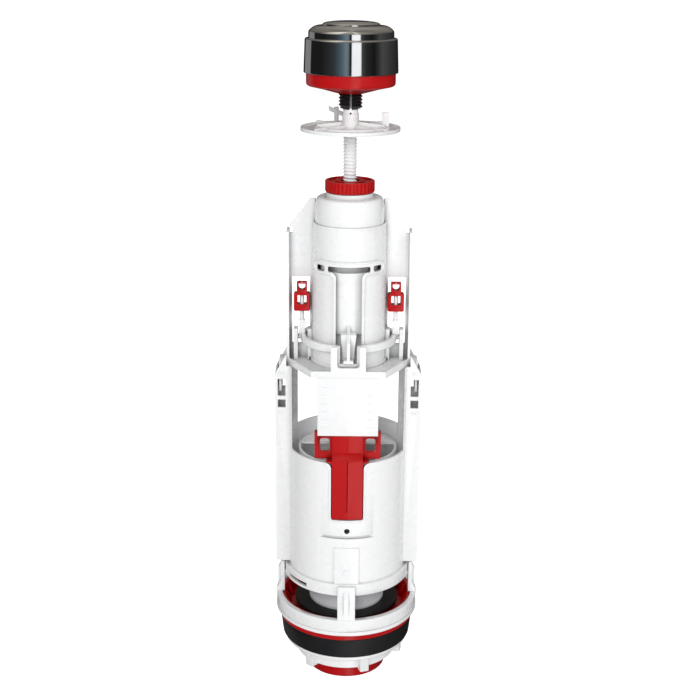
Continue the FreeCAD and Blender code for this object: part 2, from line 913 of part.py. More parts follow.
def make_rails(solid):
    """Box rails on both sides, whose tops slope away from the shelf."""
    start = across(body_inner, size.rail_half_depth) + size.fine_edge
    outer = solid.pad("XZ", [
        (start, size.rail_bottom),
        (size.rail_reach, size.rail_bottom, size.rail_wall),
        (size.rail_reach, size.rail_shoulder, size.rail_wall),
        (size.rail_inner, size.rail_peak),
        (size.rail_inner, post_top),
        (start, post_top),
    ], -size.rail_half_depth, size.rail_half_depth)
    solid.mirror([outer])
    hollow = solid.pocket("XZ", [
        (size.body_radius, size.rail_bottom + size.rail_wall),
        (size.rail_reach - size.rail_wall, size.rail_bottom + size.rail_wall),
        (size.rail_reach - size.rail_wall, size.rail_peak + size.rail_wall),
        (body_inner, size.rail_peak + size.rail_wall),
        (body_inner, post_top),
        (size.body_radius, post_top),
    ], size.rail_wall - size.rail_half_depth, size.rail_half_depth - size.rail_wall)
    solid.mirror([hollow])
    clear = size.rail_half_depth * 2
    upper = rectangle(size.latch_window_inner, size.latch_window_outer, size.upper_latch_bottom,
                      size.upper_latch_bottom + size.upper_latch_height, size.fine_edge)
    lower = rectangle(size.latch_window_inner, size.latch_window_outer, size.lower_latch_bottom,
                      size.lower_latch_bottom + size.lower_latch_height, size.fine_edge)
    windows = [solid.pocket("XZ", upper, -clear, clear), solid.pocket("XZ", lower, -clear, 0)]
    solid.mirror(windows)


def add_front_panel(solid):
    """Flat panel low on the front, with its small stud."""
    inside = across(body_inner, size.panel_half_width) - size.fine_edge
    front = size.body_radius + size.panel_proud
    panel_top = collar_top + size.panel_height
    solid.pad("XZ", rectangle(-size.panel_half_width, size.panel_half_width,
                              collar_top - size.fine_edge, panel_top), -front, -inside)
    circle_pad(solid, "XZ", 0, size.stud_height, size.stud_radius,
               -front - size.stud_proud, -front + size.fine_edge)


def cut_channel(solid, clear):
    """Slot with rounded corners in which the slider's stem runs."""
    half = size.channel_half_width
    mouth = half + size.channel_mouth_corner + size.soft_edge
    top = body_front_top + size.channel_mouth_corner
    bottom = body_front_top - size.channel_depth
    solid.pocket("XZ", [
        (-mouth, top),
        (-mouth, body_front_top),
        (-half, body_front_top, size.channel_mouth_corner),
        (-half, bottom, size.channel_corner),
        (half, bottom, size.channel_corner),
        (half, body_front_top, size.channel_mouth_corner),
        (mouth, body_front_top),
        (mouth, top),
    ], -clear, 0)


def cut_bayonet_slots(solid):
    """Two long slots through the collar, opposite each other."""
    start = size.bayonet_slot_start
    end = start + size.bayonet_slot_sweep
    far = size.collar_radius * 1.3
    near = size.collar_radius - size.collar_wall * 2
    middle = size.collar_bottom + (size.collar_height - size.ledge_thickness) / 2
    slot = solid.pocket("XY", [
        (-sine(start) * near, -cosine(start) * near),
        (-sine(start) * far, -cosine(start) * far),
        (-sine(end) * far, -cosine(end) * far),
        (-sine(end) * near, -cosine(end) * near),
    ], middle - size.bayonet_slot_tall / 2, middle + size.bayonet_slot_tall / 2)
    solid.around([slot], 2)


def make_volume_cup():
    """Inner cup with a half lid and a side port, which keeps water back for a short flush."""
    solid = Solid("volume_cup")
    inner = size.cup_radius - size.cup_wall
    flange = body_inner - size.contact_gap
    bore = size.tube_radius + size.disc_hub_wall + size.slide_gap
    solid.turn([
        (bore, cup_bottom),
        (flange, cup_bottom),
        (flange, cup_bottom + size.cup_floor),
        (size.cup_radius, cup_bottom + size.cup_floor),
        (size.cup_radius, cup_top, size.fine_edge),
        (inner, cup_top, size.fine_edge),
        (inner, cup_bottom + size.cup_floor),
        (bore, cup_bottom + size.cup_floor),
    ])
    lid_end = size.cup_radius - size.cup_wall / 2
    lid_half = across(lid_end, size.cup_lid_edge)
    solid.pad("XY", half_disc(lid_half, size.cup_lid_edge, lid_end), cup_top - size.cup_floor, cup_top)
    lid_hole = size.tube_radius + size.slide_gap * 2
    circle_cut(solid, "XY", 0, 0, lid_hole, cup_top - size.cup_floor * 2, cup_top + size.cup_floor)
    port = rectangle(-size.cup_port_half_width, size.cup_port_half_width, size.cup_port_bottom,
                     size.cup_port_bottom + size.cup_port_height, size.soft_edge)
    solid.pocket("XZ", port, -size.cup_radius * 2, -inner / 2)
    return solid.done()


def half_disc(half_chord, chord, radius):
    """Corners of a many-sided half disc behind a straight edge."""
    corners = [(-half_chord, chord)]
    start = math.degrees(math.atan2(chord.value, half_chord.value))
    for step in range(1, 12):
        angle = Size.of(180 - start - (180 - 2 * start) * step / 12)
        corners.append((radius * cosine(angle), radius * sine(angle)))
    corners.append((half_chord, chord))
    return corners[::-1]


def make_scale_plate():
    """Flat plate under the shelf, along which the slider is set."""
    solid = Solid("scale_plate")
    solid.pad("XZ", rectangle(-size.plate_half_width, size.plate_half_width,
                              post_top - size.plate_height, post_top),
              -size.shelf_half_depth, -size.shelf_half_depth + size.plate_thickness)
    return solid.done()


def make_volume_slider():
    """Red slider: a crossbar behind the scale plate and a stem in the body's channel."""
    solid = Solid("volume_slider")
    bar_front = size.shelf_half_depth - size.plate_thickness - size.slider_bar_gap
    bar_back = bar_front - size.slider_bar_thickness
    bar_bottom = body_front_top - size.slider_bar_lift + size.slider_bar_gap / 2
    bar_top = bar_bottom + size.slider_bar_height
    solid.pad("XZ", rectangle(-size.slider_half_width, size.slider_half_width, bar_bottom, bar_top,
                              size.fine_edge), -bar_front, -bar_back)
    web_half = size.channel_half_width - size.slider_stem_gap
    wing_half = web_half + size.slider_wing
    wing_front = across(body_inner, wing_half) - size.seal_gap
    wing_back = wing_front - size.slider_wing_thickness
    edge_front = size.slider_stem_depth
    step_top = bar_bottom + size.slider_step_height
    solid.pad("XY", [
        (-web_half, -edge_front),
        (0, -edge_front - size.slider_crease),
        (web_half, -edge_front),
        (web_half, -wing_back),
        (-web_half, -wing_back),
    ], size.slider_stem_bottom, step_top)
    solid.pad("XY", rectangle(-wing_half, wing_half, -wing_front, -wing_back),
              size.slider_stem_bottom, body_front_top - size.slider_wing)
    solid.pad("XY", rectangle(-web_half, web_half, -wing_back - size.fine_edge, -bar_back),
              cup_top + size.soft_edge, step_top)
    ear_inner = size.slider_half_width - size.slider_ear_width
    ear = solid.pad("XZ", rectangle(ear_inner, size.slider_half_width,
                                    bar_top - size.slider_ear_height, bar_top),
                    -size.shelf_half_depth, -bar_front + size.fine_edge)
    solid.mirror([ear])
    eye_middle = bar_bottom + size.slider_eye_lift + size.slider_eye_height / 2
    eye = solid.pocket("XZ", rectangle(
        size.slider_eye_centre - size.slider_eye_width / 2,
        size.slider_eye_centre + size.slider_eye_width / 2,
        eye_middle - size.slider_eye_height / 2,
        eye_middle + size.slider_eye_height / 2,
        size.slider_eye_corner), -bar_front * 1.5, -bar_back / 2)
    solid.mirror([eye])
    return solid.done()


# Plunger: lift tube, disc, seal, retainer and float

def make_lift_tube():
    """Overflow tube that lifts the plunger, with the arm that the yoke raises."""
    solid = Solid("lift_tube")
    bore = size.tube_radius - size.tube_wall
    solid.turn([
        (bore, size.tube_bottom),
        (size.tube_radius, size.tube_bottom),
        (size.tube_radius, size.tube_top),
        (bore, size.tube_top, size.fine_edge),
    ])
    reach = yoke_outer + size.lift_arm_overhang
    start = size.tube_radius - size.tube_wall / 2
    solid.pad("YZ", [
        (start, arm_bottom),
        (reach, arm_bottom),
        (reach, arm_bottom + size.lift_arm_thickness, size.soft_edge),
        (start, arm_bottom + size.lift_arm_thickness),
    ], -size.lift_arm_half_width, size.lift_arm_half_width)
    return solid.done()


def make_plunger_disc():
    """White disc that presses the seal down, with a cone up to its hub."""
    solid = Solid("plunger_disc")
    hub = size.tube_radius + size.disc_hub_wall
    solid.turn([
        (tube_fit, seal_top),
        (size.disc_radius, seal_top),
        (size.disc_radius, seal_top + size.disc_rim, size.soft_edge),
        (hub, seal_top + size.disc_cone_height, size.soft_edge),
        (hub, seal_top + size.disc_hub_height),
        (tube_fit, seal_top + size.disc_hub_height),
    ])
    return solid.done()


def make_plunger_seal():
    """Black rubber disc that closes on the seat's lip."""
    solid = Solid("plunger_seal")
    solid.turn([
        (tube_fit, seal_bottom),
        (size.seal_radius, seal_bottom, size.fine_edge),
        (size.seal_radius, seal_top, size.fine_edge),
        (tube_fit, seal_top),
    ])
    return solid.done()


def make_seal_retainer():
    """Disc under the seal, clamped against it on the tube's lower end."""
    solid = Solid("seal_retainer")
    solid.turn([
        (tube_fit, retainer_bottom),
        (size.retainer_radius - size.retainer_thickness / 2, retainer_bottom, size.soft_edge),
        (size.retainer_radius, seal_bottom),
        (tube_fit, seal_bottom),
    ])
    return solid.done()


def make_float_ring():
    """Float open at the bottom, which rides on the lift tube inside the volume cup."""
    solid = Solid("float_ring")
    top = size.float_bottom + size.float_height
    hub = tube_fit + size.float_wall
    solid.turn([
        (tube_fit, size.float_bottom),
        (hub, size.float_bottom),
        (hub, top - size.float_wall),
        (size.float_radius - size.float_wall, top - size.float_wall),
        (size.float_radius - size.float_wall, size.float_bottom),
        (size.float_radius, size.float_bottom),
        (size.float_radius, top, size.float_wall),
        (tube_fit, top),
    ])
    return solid.done()


# Head: shelf frame, guide tube, housing with wings

def make_head_frame():
    """Shelf on the body's posts, with side walls, latch tongues and the front bracket."""
    solid = Solid("head_frame")
    solid.pad("XY", shelf_outline(Size.of(0)), post_top, shelf_rim_top)
    solid.pocket("XY", shelf_outline(size.shelf_rim_width), shelf_top, shelf_rim_top + size.soft_edge)
    clear = size.shelf_thickness * 2
    hole = size.tube_radius + size.shelf_hole_gap
    circle_cut(solid, "XY", 0, 0, hole, post_top - clear, shelf_top + clear)
    well_front = size.shelf_half_depth - size.bracket_thickness - size.contact_gap
    solid.pocket("XY", rectangle(-size.well_half_width, size.well_half_width,
                                 -well_front, -size.well_back), post_top - clear, shelf_top + clear)
    wall_inner = size.shelf_half_width - size.side_wall_thickness
    wall = solid.pad("XY", rectangle(wall_inner, size.shelf_half_width,
                                     -size.side_wall_front, size.side_wall_back),
                     shelf_top - size.soft_edge, shelf_top + size.side_wall_height)
    bridge = solid.pad("XY", rectangle(wall_inner, size.tongue_outer,
                                       -size.side_wall_front, size.tongue_half_depth),
                       post_top + size.contact_gap, shelf_top)
    tongue = solid.pad("XY", rectangle(size.tongue_outer - size.tongue_thickness, size.tongue_outer,
                                       -size.tongue_half_depth, size.tongue_half_depth),
                       shelf_top - size.tongue_length, shelf_top)
    solid.mirror([wall, bridge, tongue])
    add_bracket(solid)
    return solid.done()


def shelf_outline(inset):
    """Eight-sided shelf outline, drawn in by a rim's width where asked."""
    side = size.shelf_half_width - inset
    side_end = size.shelf_side_half_depth
    middle_x = size.shelf_mid_x - inset
    middle_y = size.shelf_mid_y - inset / 2
    flat = size.shelf_flat_half_width - inset / 2
    front = size.shelf_half_depth - inset
    quarter = [(side, side_end), (middle_x, middle_y), (flat, front)]
    corners = [(x, -y) for x, y in quarter[::-1]] + quarter
    corners += [(-x, y) for x, y in quarter[::-1]] + [(-x, -y) for x, y in quarter]
    return corners


def add_bracket(solid):
    """U-shaped bracket at the front of the shelf, in front of the keel."""
    outer = size.bracket_half_width
    gap = size.bracket_gap_half_width
    top = shelf_top + size.bracket_height
    floor = shelf_top + size.bracket_foot
    solid.pad("XZ", [
        (-outer, shelf_top - size.soft_edge),
        (outer, shelf_top - size.soft_edge),
        (outer, top, size.soft_edge),
        (gap, top, size.soft_edge),
        (gap, floor, size.bracket_corner),
        (-gap, floor, size.bracket_corner),
        (-gap, top, size.soft_edge),
        (-outer, top, size.soft_edge),
    ], -size.shelf_half_depth, -size.shelf_half_depth + size.bracket_thickness)


def make_guide_tube():
    """Fixed tube round the lift tube, whose top ledge carries the return spring."""
    solid = Solid("guide_tube")
    foot = guide_outer + size.head_foot_width
    ledge_bottom = guide_top - size.guide_ledge_thickness
    solid.turn([
        (size.guide_bore, shelf_top),
        (foot, shelf_top),
        (foot, shelf_top + size.head_foot),
        (guide_outer, shelf_top + size.head_foot),
        (guide_outer, ledge_bottom - size.guide_ledge_thickness),
        (size.guide_ledge_radius, ledge_bottom),
        (size.guide_ledge_radius, guide_top),
        (size.guide_bore, guide_top),
    ])
    cut_arm_slot(solid, foot * 2, shelf_top + size.head_foot)
    return solid.done()


def arm_slot_half():
    return size.lift_arm_half_width + size.arm_slot_gap


def cut_arm_slot(solid, reach, bottom):
    """Slot at the back in which the lift tube's arm rises."""
    half = arm_slot_half()
    top = arm_bottom + size.lift_arm_thickness + size.lift_travel + size.arm_slot_gap
    solid.pocket("XZ", rectangle(-half, half, bottom, top), 0, reach)


def make_head_housing():
    """Head cylinder with its T-shaped window."""
    solid = Solid("head_housing")
    foot = size.head_radius + size.head_foot_width
    solid.turn([
        (0, shelf_top),
        (foot, shelf_top),
        (foot, shelf_top + size.head_foot),
        (size.head_radius, shelf_top + size.head_foot),
        (size.head_radius, head_taper_top),
        (size.head_top_radius, head_top, size.fine_edge),
        (0, head_top),
    ])
    add_tee_rim(solid)
    solid.groove([
        (0, shelf_top),
        (head_inner, shelf_top),
        (head_inner, head_taper_top),
        (head_top_inner, head_top),
        (head_top_inner, size.wing_peak),
        (0, size.wing_peak),
    ])
    cut_tee(solid)
    cut_arm_slot(solid, foot * 2, shelf_top + size.head_foot)
    return solid.done()


def add_tee_rim(solid):
    """Raised T-shaped frame that follows the cylinder."""
    bar = size.tee_half_width
    leg = size.tee_leg_half_width + size.tee_rim
    low = shelf_top + size.head_foot
    front = size.head_radius + size.tee_rim_proud
    solid.pad("XZ", [
        (-leg, low),
        (leg, low),
        (leg, size.tee_bottom, size.tee_fillet),
        (bar, size.tee_bottom, size.tee_end_corner),
        (bar, size.tee_top, size.tee_end_corner),
        (-bar, size.tee_top, size.tee_end_corner),
        (-bar, size.tee_bottom, size.tee_end_corner),
        (-leg, size.tee_bottom, size.tee_fillet),
    ], -front * 1.2, 0)
    solid.groove([
        (front, low - size.head_foot),
        (front * 1.5, low - size.head_foot),
        (front * 1.5, head_top),
        (front, head_top),
    ])


def cut_tee(solid):
    """Open the T: its leg, its middle slot and a short slot at each end."""
    clear = size.head_radius * 2
    slot_top = size.tee_slot_bottom + size.tee_slot_height
    leg = size.tee_leg_half_width
    slot = size.tee_centre_slot
    low = shelf_top - size.soft_edge
    inside = -head_inner / 3
    solid.pocket("XZ", [
        (-leg, low),
        (leg, low),
        (leg, size.tee_slot_bottom, size.tee_fillet),
        (slot, size.tee_slot_bottom, size.soft_edge),
        (slot, slot_top, size.soft_edge),
        (-slot, slot_top, size.soft_edge),
        (-slot, size.tee_slot_bottom, size.soft_edge),
        (-leg, size.tee_slot_bottom, size.tee_fillet),
    ], -clear, inside)
    side = solid.pocket("XZ", rectangle(
        size.tee_side_slot_inner, size.tee_side_slot_outer, size.tee_slot_bottom, slot_top,
        size.soft_edge), -clear, inside)
    solid.mirror([side])


def make_hanger(label, side):
    """Wing beside the head, with a sloped shoulder; side is -1 on the left and 1 on the right."""
    solid = Solid(label)
    wall_inner = size.shelf_half_width - size.side_wall_thickness
    inside = size.cap_radius - size.cap_wall
    back = size.wing_front + size.wing_thickness
    solid.pad("XZ", sided([
        (inside, shelf_top),
        (wall_inner, shelf_top),
        (wall_inner, size.wing_shoulder),
        (size.wing_peak_inner, size.wing_peak),
        (inside, size.wing_peak),
    ], side), size.wing_front, back)
    solid.pocket("XZ", sided(rectangle(
        size.wing_window_inner, size.wing_window_outer, size.wing_window_bottom,
        size.wing_window_top, size.soft_edge), side), size.wing_front / 2, back * 2)
    solid.pocket("XZ", sided(rectangle(
        wall_inner - size.hook_slot_width, wall_inner + size.soft_edge,
        size.wing_shoulder - size.hook_slot_height, size.wing_shoulder - size.soft_edge), side),
        size.wing_front / 2, back * 2)
    clear_head(solid)
    return solid.done()


def clear_head(solid):
    """Cut a piece back to the outside of the head cylinder."""
    foot = size.head_radius + size.head_foot_width
    solid.groove([
        (0, shelf_top),
        (foot, shelf_top),
        (foot, shelf_top + size.head_foot),
        (size.head_radius, shelf_top + size.head_foot),
        (size.head_radius, head_taper_top),
        (size.head_top_radius, head_top),
        (head_top_inner, head_top),
        (head_top_inner, size.wing_peak),
        (0, size.wing_peak),
    ])


def sided(corners, side):
    """Corners drawn for the right, mirrored to the left where side is -1."""
    return [(corner[0] * side,) + tuple(corner[1:]) for corner in corners][::side]


def make_pivot_post(label, side, inner, outer):
    """Post beside the yoke, bored for its pivot pin; side is -1 on the left and 1 on the right."""
    solid = Solid(label)
    top = size.pivot_height + size.post_above_pivot
    front = size.post_half_depth
    near, far = (inner * side, outer * side)[::side]
    solid.pad("YZ", [
        (-front, shelf_top),
        (size.wing_front, shelf_top),
        (size.wing_front, size.wing_window_bottom),
        (front - size.soft_edge, size.wing_window_bottom),
        (front - size.soft_edge, top, size.soft_edge),
        (-front, top, size.soft_edge),
    ], near, far)
    circle_cut(solid, "YZ", 0, size.pivot_height, size.pivot_radius + size.pivot_clearance,
               near - size.soft_edge, far + size.soft_edge)
    if inner.value < size.head_radius.value + size.head_foot_width.value:
        clear_head(solid)
    return solid.done()


# Lift yoke and the adjuster clips on its rods

def make_lift_yoke():
    """Rocker round the head: a ring with a front drop bar, pivot pins and upright rods."""
    solid = Solid("lift_yoke")
    solid.turn([
        (yoke_inner, yoke_bottom, size.soft_edge),
        (yoke_outer, yoke_bottom, size.soft_edge),
        (yoke_outer, yoke_top, size.soft_edge),
        (yoke_inner, yoke_top, size.soft_edge),
    ])
    gap = size.yoke_drop_outer - size.soft_edge
    solid.pocket("XY", rectangle(-gap, gap, -yoke_outer * 1.1, -yoke_inner / 2),
                 yoke_bottom - size.soft_edge, yoke_top + size.soft_edge)
    bar_height = size.pivot_height - size.yoke_bar_drop
    drop_front = size.yoke_radius + size.yoke_bar_radius
    drop_back = size.yoke_radius - size.yoke_bar_radius
    drop = solid.pad("XZ", [
        (size.yoke_drop_inner, bar_height - size.yoke_bar_radius, size.soft_edge),
        (size.yoke_drop_outer, bar_height - size.yoke_bar_radius, size.soft_edge),
        (size.yoke_drop_outer, yoke_top),
        (size.yoke_drop_inner, yoke_top, size.soft_edge),
    ], -drop_front, -drop_back)
    arm_inner = size.arm_centre - size.arm_width / 2
    arm_outer = size.arm_centre + size.arm_width / 2
    arm_top = yoke_top + size.arm_height
    arm = solid.pad("XZ", [
        (yoke_inner + size.fine_edge, yoke_bottom + size.fine_edge),
        (yoke_outer, yoke_bottom + size.fine_edge),
        (arm_outer, yoke_top),
        (arm_outer, arm_top, size.fine_edge),
        (arm_inner, arm_top, size.fine_edge),
        (arm_inner, yoke_top),
    ], -size.arm_depth / 2, size.arm_depth / 2)
    rod = circle_pad(solid, "XY", size.arm_centre, 0, size.rod_pin_radius,
                     arm_top - size.soft_edge, size.rod_pin_top)
    pin = circle_pad(solid, "YZ", 0, size.pivot_height, size.pivot_radius,
                     size.inner_post_inner + size.contact_gap * 3,
                     size.outer_post_outer - size.contact_gap)
    solid.mirror([drop, arm, rod, pin])
    circle_pad(solid, "YZ", -size.yoke_radius, bar_height, size.yoke_bar_radius,
               -size.yoke_drop_inner - size.soft_edge, size.yoke_drop_inner + size.soft_edge)
    return solid.done()


def make_adjuster_clip(label, side):
    """Red clip that grips one of the yoke's rods; side is -1 on the left and 1 on the right."""
    solid = Solid(label)
    middle = size.arm_centre * side
    half = size.clip_width / 2
    neck = size.clip_neck_width / 2
    shoulder = size.clip_bottom + size.clip_height
    top = shoulder + size.clip_neck_height
    solid.pad("XZ", [
        (middle - half, size.clip_bottom, size.soft_edge),
        (middle + half, size.clip_bottom, size.soft_edge),
        (middle + half, shoulder, size.fine_edge),
        (middle + neck, shoulder),
        (middle + neck, top, size.fine_edge),
        (middle - neck, top, size.fine_edge),
        (middle - neck, shoulder),
        (middle - half, shoulder, size.fine_edge),
    ], -size.clip_depth / 2, size.clip_depth / 2)
    window = size.clip_window_width / 2
    low = size.clip_bottom + size.clip_window_lift
    solid.pocket("XZ", rectangle(middle - window, middle + window, low,
                                 low + size.clip_window_height, size.fine_edge),
                 -size.clip_depth, size.clip_depth)
    circle_cut(solid, "XZ", middle, shoulder + size.clip_neck_height / 2, size.clip_notch_radius,
               -size.clip_depth, size.clip_depth)
    circle_cut(solid, "XY", middle, 0, size.rod_pin_radius + size.clip_fit,
               size.clip_bottom - size.clip_depth, top + size.clip_depth)
    return solid.done()


# Press train: rod, disc, cap, sleeve with keel, lock nut

def make_press_cap():
    """Cap that slides down in the head, with a boss and collet for the lock nut."""
    solid = Solid("press_cap")
    inner = size.cap_radius - size.cap_wall
    collet_top = boss_top + size.collet_height
    solid.turn([
        (rod_fit, cap_ceiling),
        (inner, cap_ceiling),
        (inner, cap_skirt_bottom),
        (size.cap_radius, cap_skirt_bottom, size.fine_edge),
        (size.cap_radius, size.cap_top - size.cap_shoulder, size.cap_top_corner),
        (size.cap_top_radius, size.cap_top, size.cap_top_corner),
        (size.cap_boss_radius, size.cap_top),
        (size.cap_boss_radius, boss_top, size.fine_edge),
        (size.collet_radius, boss_top),
        (size.collet_radius, collet_top, size.fine_edge),
        (rod_fit, collet_top),
    ])
    return solid.done()


def make_press_sleeve():
    """Sleeve under the cap, whose keel presses the yoke's front bar down."""
    solid = Solid("press_sleeve")
    inner = size.sleeve_radius - size.sleeve_wall
    flange = size.cap_radius - size.cap_wall
    solid.turn([
        (inner, size.sleeve_bottom),
        (size.sleeve_radius, size.sleeve_bottom, size.fine_edge),
        (size.sleeve_radius, cap_ceiling - size.sleeve_flange_height),
        (flange, cap_ceiling - size.sleeve_flange_height),
        (flange, cap_ceiling),
        (inner, cap_ceiling),
    ])
    gallery_half = across(size.sleeve_radius, size.sleeve_radius / 3)
    solid.pocket("XZ", rectangle(-gallery_half, gallery_half, size.tee_bottom,
                                 size.tee_bottom + size.gallery_height, size.soft_edge),
                 -size.sleeve_radius * 2, -size.sleeve_radius / 3)
    add_keel(solid)
    half = arm_slot_half()
    arm_top = arm_bottom + size.lift_arm_thickness + size.lift_travel
    solid.pocket("XZ", rectangle(-half, half, size.sleeve_bottom - size.soft_edge,
                                 arm_top + size.cap_travel + size.arm_slot_gap),
                 0, size.sleeve_radius * 2)
    return solid.done()


def add_keel(solid):
    """Wedge-shaped keel with a front rib and a foot for the yoke's bar."""
    root_radius = size.sleeve_radius - size.sleeve_wall / 2
    shelf_of_keel = size.sleeve_bottom + size.keel_foot_height
    solid.pad("XZ", [
        (-size.keel_foot_half_width, keel_bottom),
        (size.keel_foot_half_width, keel_bottom),
        (size.keel_half_width, shelf_of_keel),
        (-size.keel_half_width, shelf_of_keel),
    ], -size.keel_panel_front, -size.keel_back)
    solid.pad("XY", rectangle(-size.keel_half_width, size.keel_half_width,
                              -size.keel_panel_front, -across(root_radius, size.keel_half_width)),
              size.sleeve_bottom, shelf_of_keel)
    solid.pad("YZ", [
        (-root_radius, shelf_of_keel + size.keel_half_width),
        (-size.keel_front, size.sleeve_bottom - size.keel_foot_height, size.soft_edge),
        (-size.keel_front, keel_bottom, size.soft_edge),
        (-size.keel_back, keel_bottom),
        (-size.keel_back, size.sleeve_bottom),
        (-root_radius, size.sleeve_bottom),
    ], -size.keel_rib_half_width, size.keel_rib_half_width)
    solid.pad("XY", rectangle(-size.keel_foot_half_width, size.keel_foot_half_width,
                              -size.keel_front, -size.keel_back, size.fine_edge),
              keel_bottom, keel_bottom + size.keel_foot_height)


def make_push_rod():
    """Rod from the press disc down through the cap, where the lock nut's collet grips it."""
    solid = Solid("push_rod")
    tip_end = size.press_disc_bottom + size.rod_tip_length
    solid.turn([
        (0, size.rod_bottom),
        (size.rod_radius, size.rod_bottom, size.soft_edge),
        (size.rod_radius, size.press_disc_bottom),
        (size.rod_tip_radius, size.press_disc_bottom),
        (size.rod_tip_radius, tip_end),
        (0, tip_end),
    ])
    return solid.done()


def make_lock_nut():
    """Red fluted nut that closes the cap's collet on the rod."""
    solid = Solid("lock_nut")
    bottom = boss_top + size.contact_gap
    top = bottom + size.lock_nut_height
    recess = top - size.lock_recess_depth
    bore = size.collet_radius + size.running_clearance
    solid.turn([
        (bore, bottom),
        (size.lock_nut_radius, bottom, size.soft_edge),
        (size.lock_nut_radius, top, size.soft_edge),
        (size.lock_recess_outer, top),
        (size.lock_recess_outer, recess),
        (size.lock_recess_inner, recess),
        (size.lock_recess_inner, top),
        (bore, top, size.fine_edge),
    ])
    flute = circle_cut(solid, "XY", size.lock_nut_radius + size.flute_radius / 3, 0,
                       size.flute_radius, bottom - size.soft_edge, top + size.soft_edge)
    solid.around([flute], size.lock_nut_flutes)
    return solid.done()


def make_press_disc():
    """Wide disc on the rod's top, which the push button's pusher finds."""
    solid = Solid("press_disc")
    tip_end = size.press_disc_bottom + size.rod_tip_length
    rim_inner = size.press_disc_radius - size.press_disc_rim_width
    rim_top = press_disc_top + size.press_disc_rim_height
    solid.turn([
        (size.rod_tip_radius, size.press_disc_bottom),
        (size.press_disc_radius, size.press_disc_bottom, size.fine_edge),
        (size.press_disc_radius, rim_top, size.fine_edge),
        (rim_inner, rim_top),
        (rim_inner, press_disc_top),
        (size.press_hub_radius, press_disc_top),
        (size.press_hub_radius, hub_top, size.fine_edge),
        (size.press_finger_radius, hub_top),
        (size.press_finger_radius, finger_top, size.soft_edge),
        (0, finger_top),
        (0, tip_end),
        (size.rod_tip_radius, tip_end),
    ])
    add_disc_ribs(solid, rim_inner)
    tab = rectangle(size.press_tab_x, size.press_tab_x + size.press_tab_width,
                    press_disc_top - size.fine_edge, press_disc_top + size.press_tab_height,
                    size.fine_edge)
    solid.pad("XZ", tab, size.press_tab_y, size.press_tab_y + size.press_tab_thickness)
    solid.groove([
        (0, size.press_disc_bottom),
        (size.rod_tip_radius, size.press_disc_bottom),
        (size.rod_tip_radius, tip_end),
        (0, tip_end),
    ])
    slot = size.press_finger_slot / 2
    reach = size.press_hub_radius * 2
    cross = rectangle(-slot, slot, hub_top, finger_top + size.soft_edge)
    solid.pocket("XZ", cross, -reach, reach)
    solid.pocket("YZ", cross, -reach, reach)
    return solid.done()


def add_disc_ribs(solid, rim_inner):
    """Low radial ribs from the hub towards the rim, and a round rib between them."""
    half = size.press_rib_width / 2
    near = size.press_hub_radius - size.soft_edge
    far = rim_inner + size.fine_edge
    rib_top = press_disc_top + size.press_rib_height
    along = sine(size.press_rib_angle)
    ahead = -cosine(size.press_rib_angle)
    rib = solid.pad("XY", [
        (along * near - ahead * half, ahead * near + along * half),
        (along * near + ahead * half, ahead * near - along * half),
        (along * far + ahead * half, ahead * far - along * half),
        (along * far - ahead * half, ahead * far + along * half),
    ], press_disc_top - size.fine_edge, press_disc_top + size.press_rib_height / 2)
    solid.around([rib], size.press_rib_count)
    ring_outer = size.press_ring_radius + size.press_rib_width
    solid.turn([
        (size.press_ring_radius, press_disc_top - size.fine_edge),
        (ring_outer, press_disc_top - size.fine_edge),
        (ring_outer, press_disc_top + size.press_rib_height / 3),
        (size.press_ring_radius, press_disc_top + size.press_rib_height / 3),
    ])
    gusset = size.press_ring_radius
    solid.pad("XZ", [
        (-gusset, press_disc_top - size.fine_edge),
        (gusset, press_disc_top - size.fine_edge),
        (gusset, press_disc_top + size.press_rib_height / 2),
        (size.press_hub_radius, rib_top),
        (-size.press_hub_radius, rib_top),
        (-gusset, press_disc_top + size.press_rib_height / 2),
    ], -half, half)


def make_disc_clip():
    """Grey clip on the press disc: a post with a slanting blade."""
    solid = Solid("disc_clip")
    post_top_height = press_disc_top + size.hook_post_height
    low = press_disc_top + size.hook_blade_lift
    fall = size.hook_blade_fall
    left = -size.hook_x - size.hook_blade_length / 2
    right = -size.hook_x + size.hook_blade_length / 2
    half = size.hook_blade_width / 2
    solid.pad("XZ", [
        (left, low + fall),
        (right, low),
        (right, low + size.hook_blade_height),
        (left, low + fall + size.hook_blade_height),
    ], size.hook_y - half, size.hook_y + half)
    circle_pad(solid, "XY", -size.hook_x, size.hook_y, size.hook_post_radius,
               press_disc_top + size.press_rib_height / 2, post_top_height)
    return solid.done()


# Push button above the press disc

def make_button_cup():
    """Red cup under the chrome bezel, with a shallow cone down to the shank."""
    solid = Solid("button_cup")
    floor = size.cup_knee_height + size.button_cup_wall
    solid.turn([
        (cup_bore, size.cup_neck_bottom),
        (size.cup_neck_radius, size.cup_neck_bottom),
        (size.cup_knee_radius, size.cup_knee_height, size.button_cup_corner),
        (size.button_cup_radius, size.cup_edge_height, size.button_cup_corner),
        (size.button_cup_radius, size.bezel_bottom),
        (cup_inner, size.bezel_bottom),
        (cup_inner, floor),
        (cup_bore, floor),
    ])
    return solid.done()


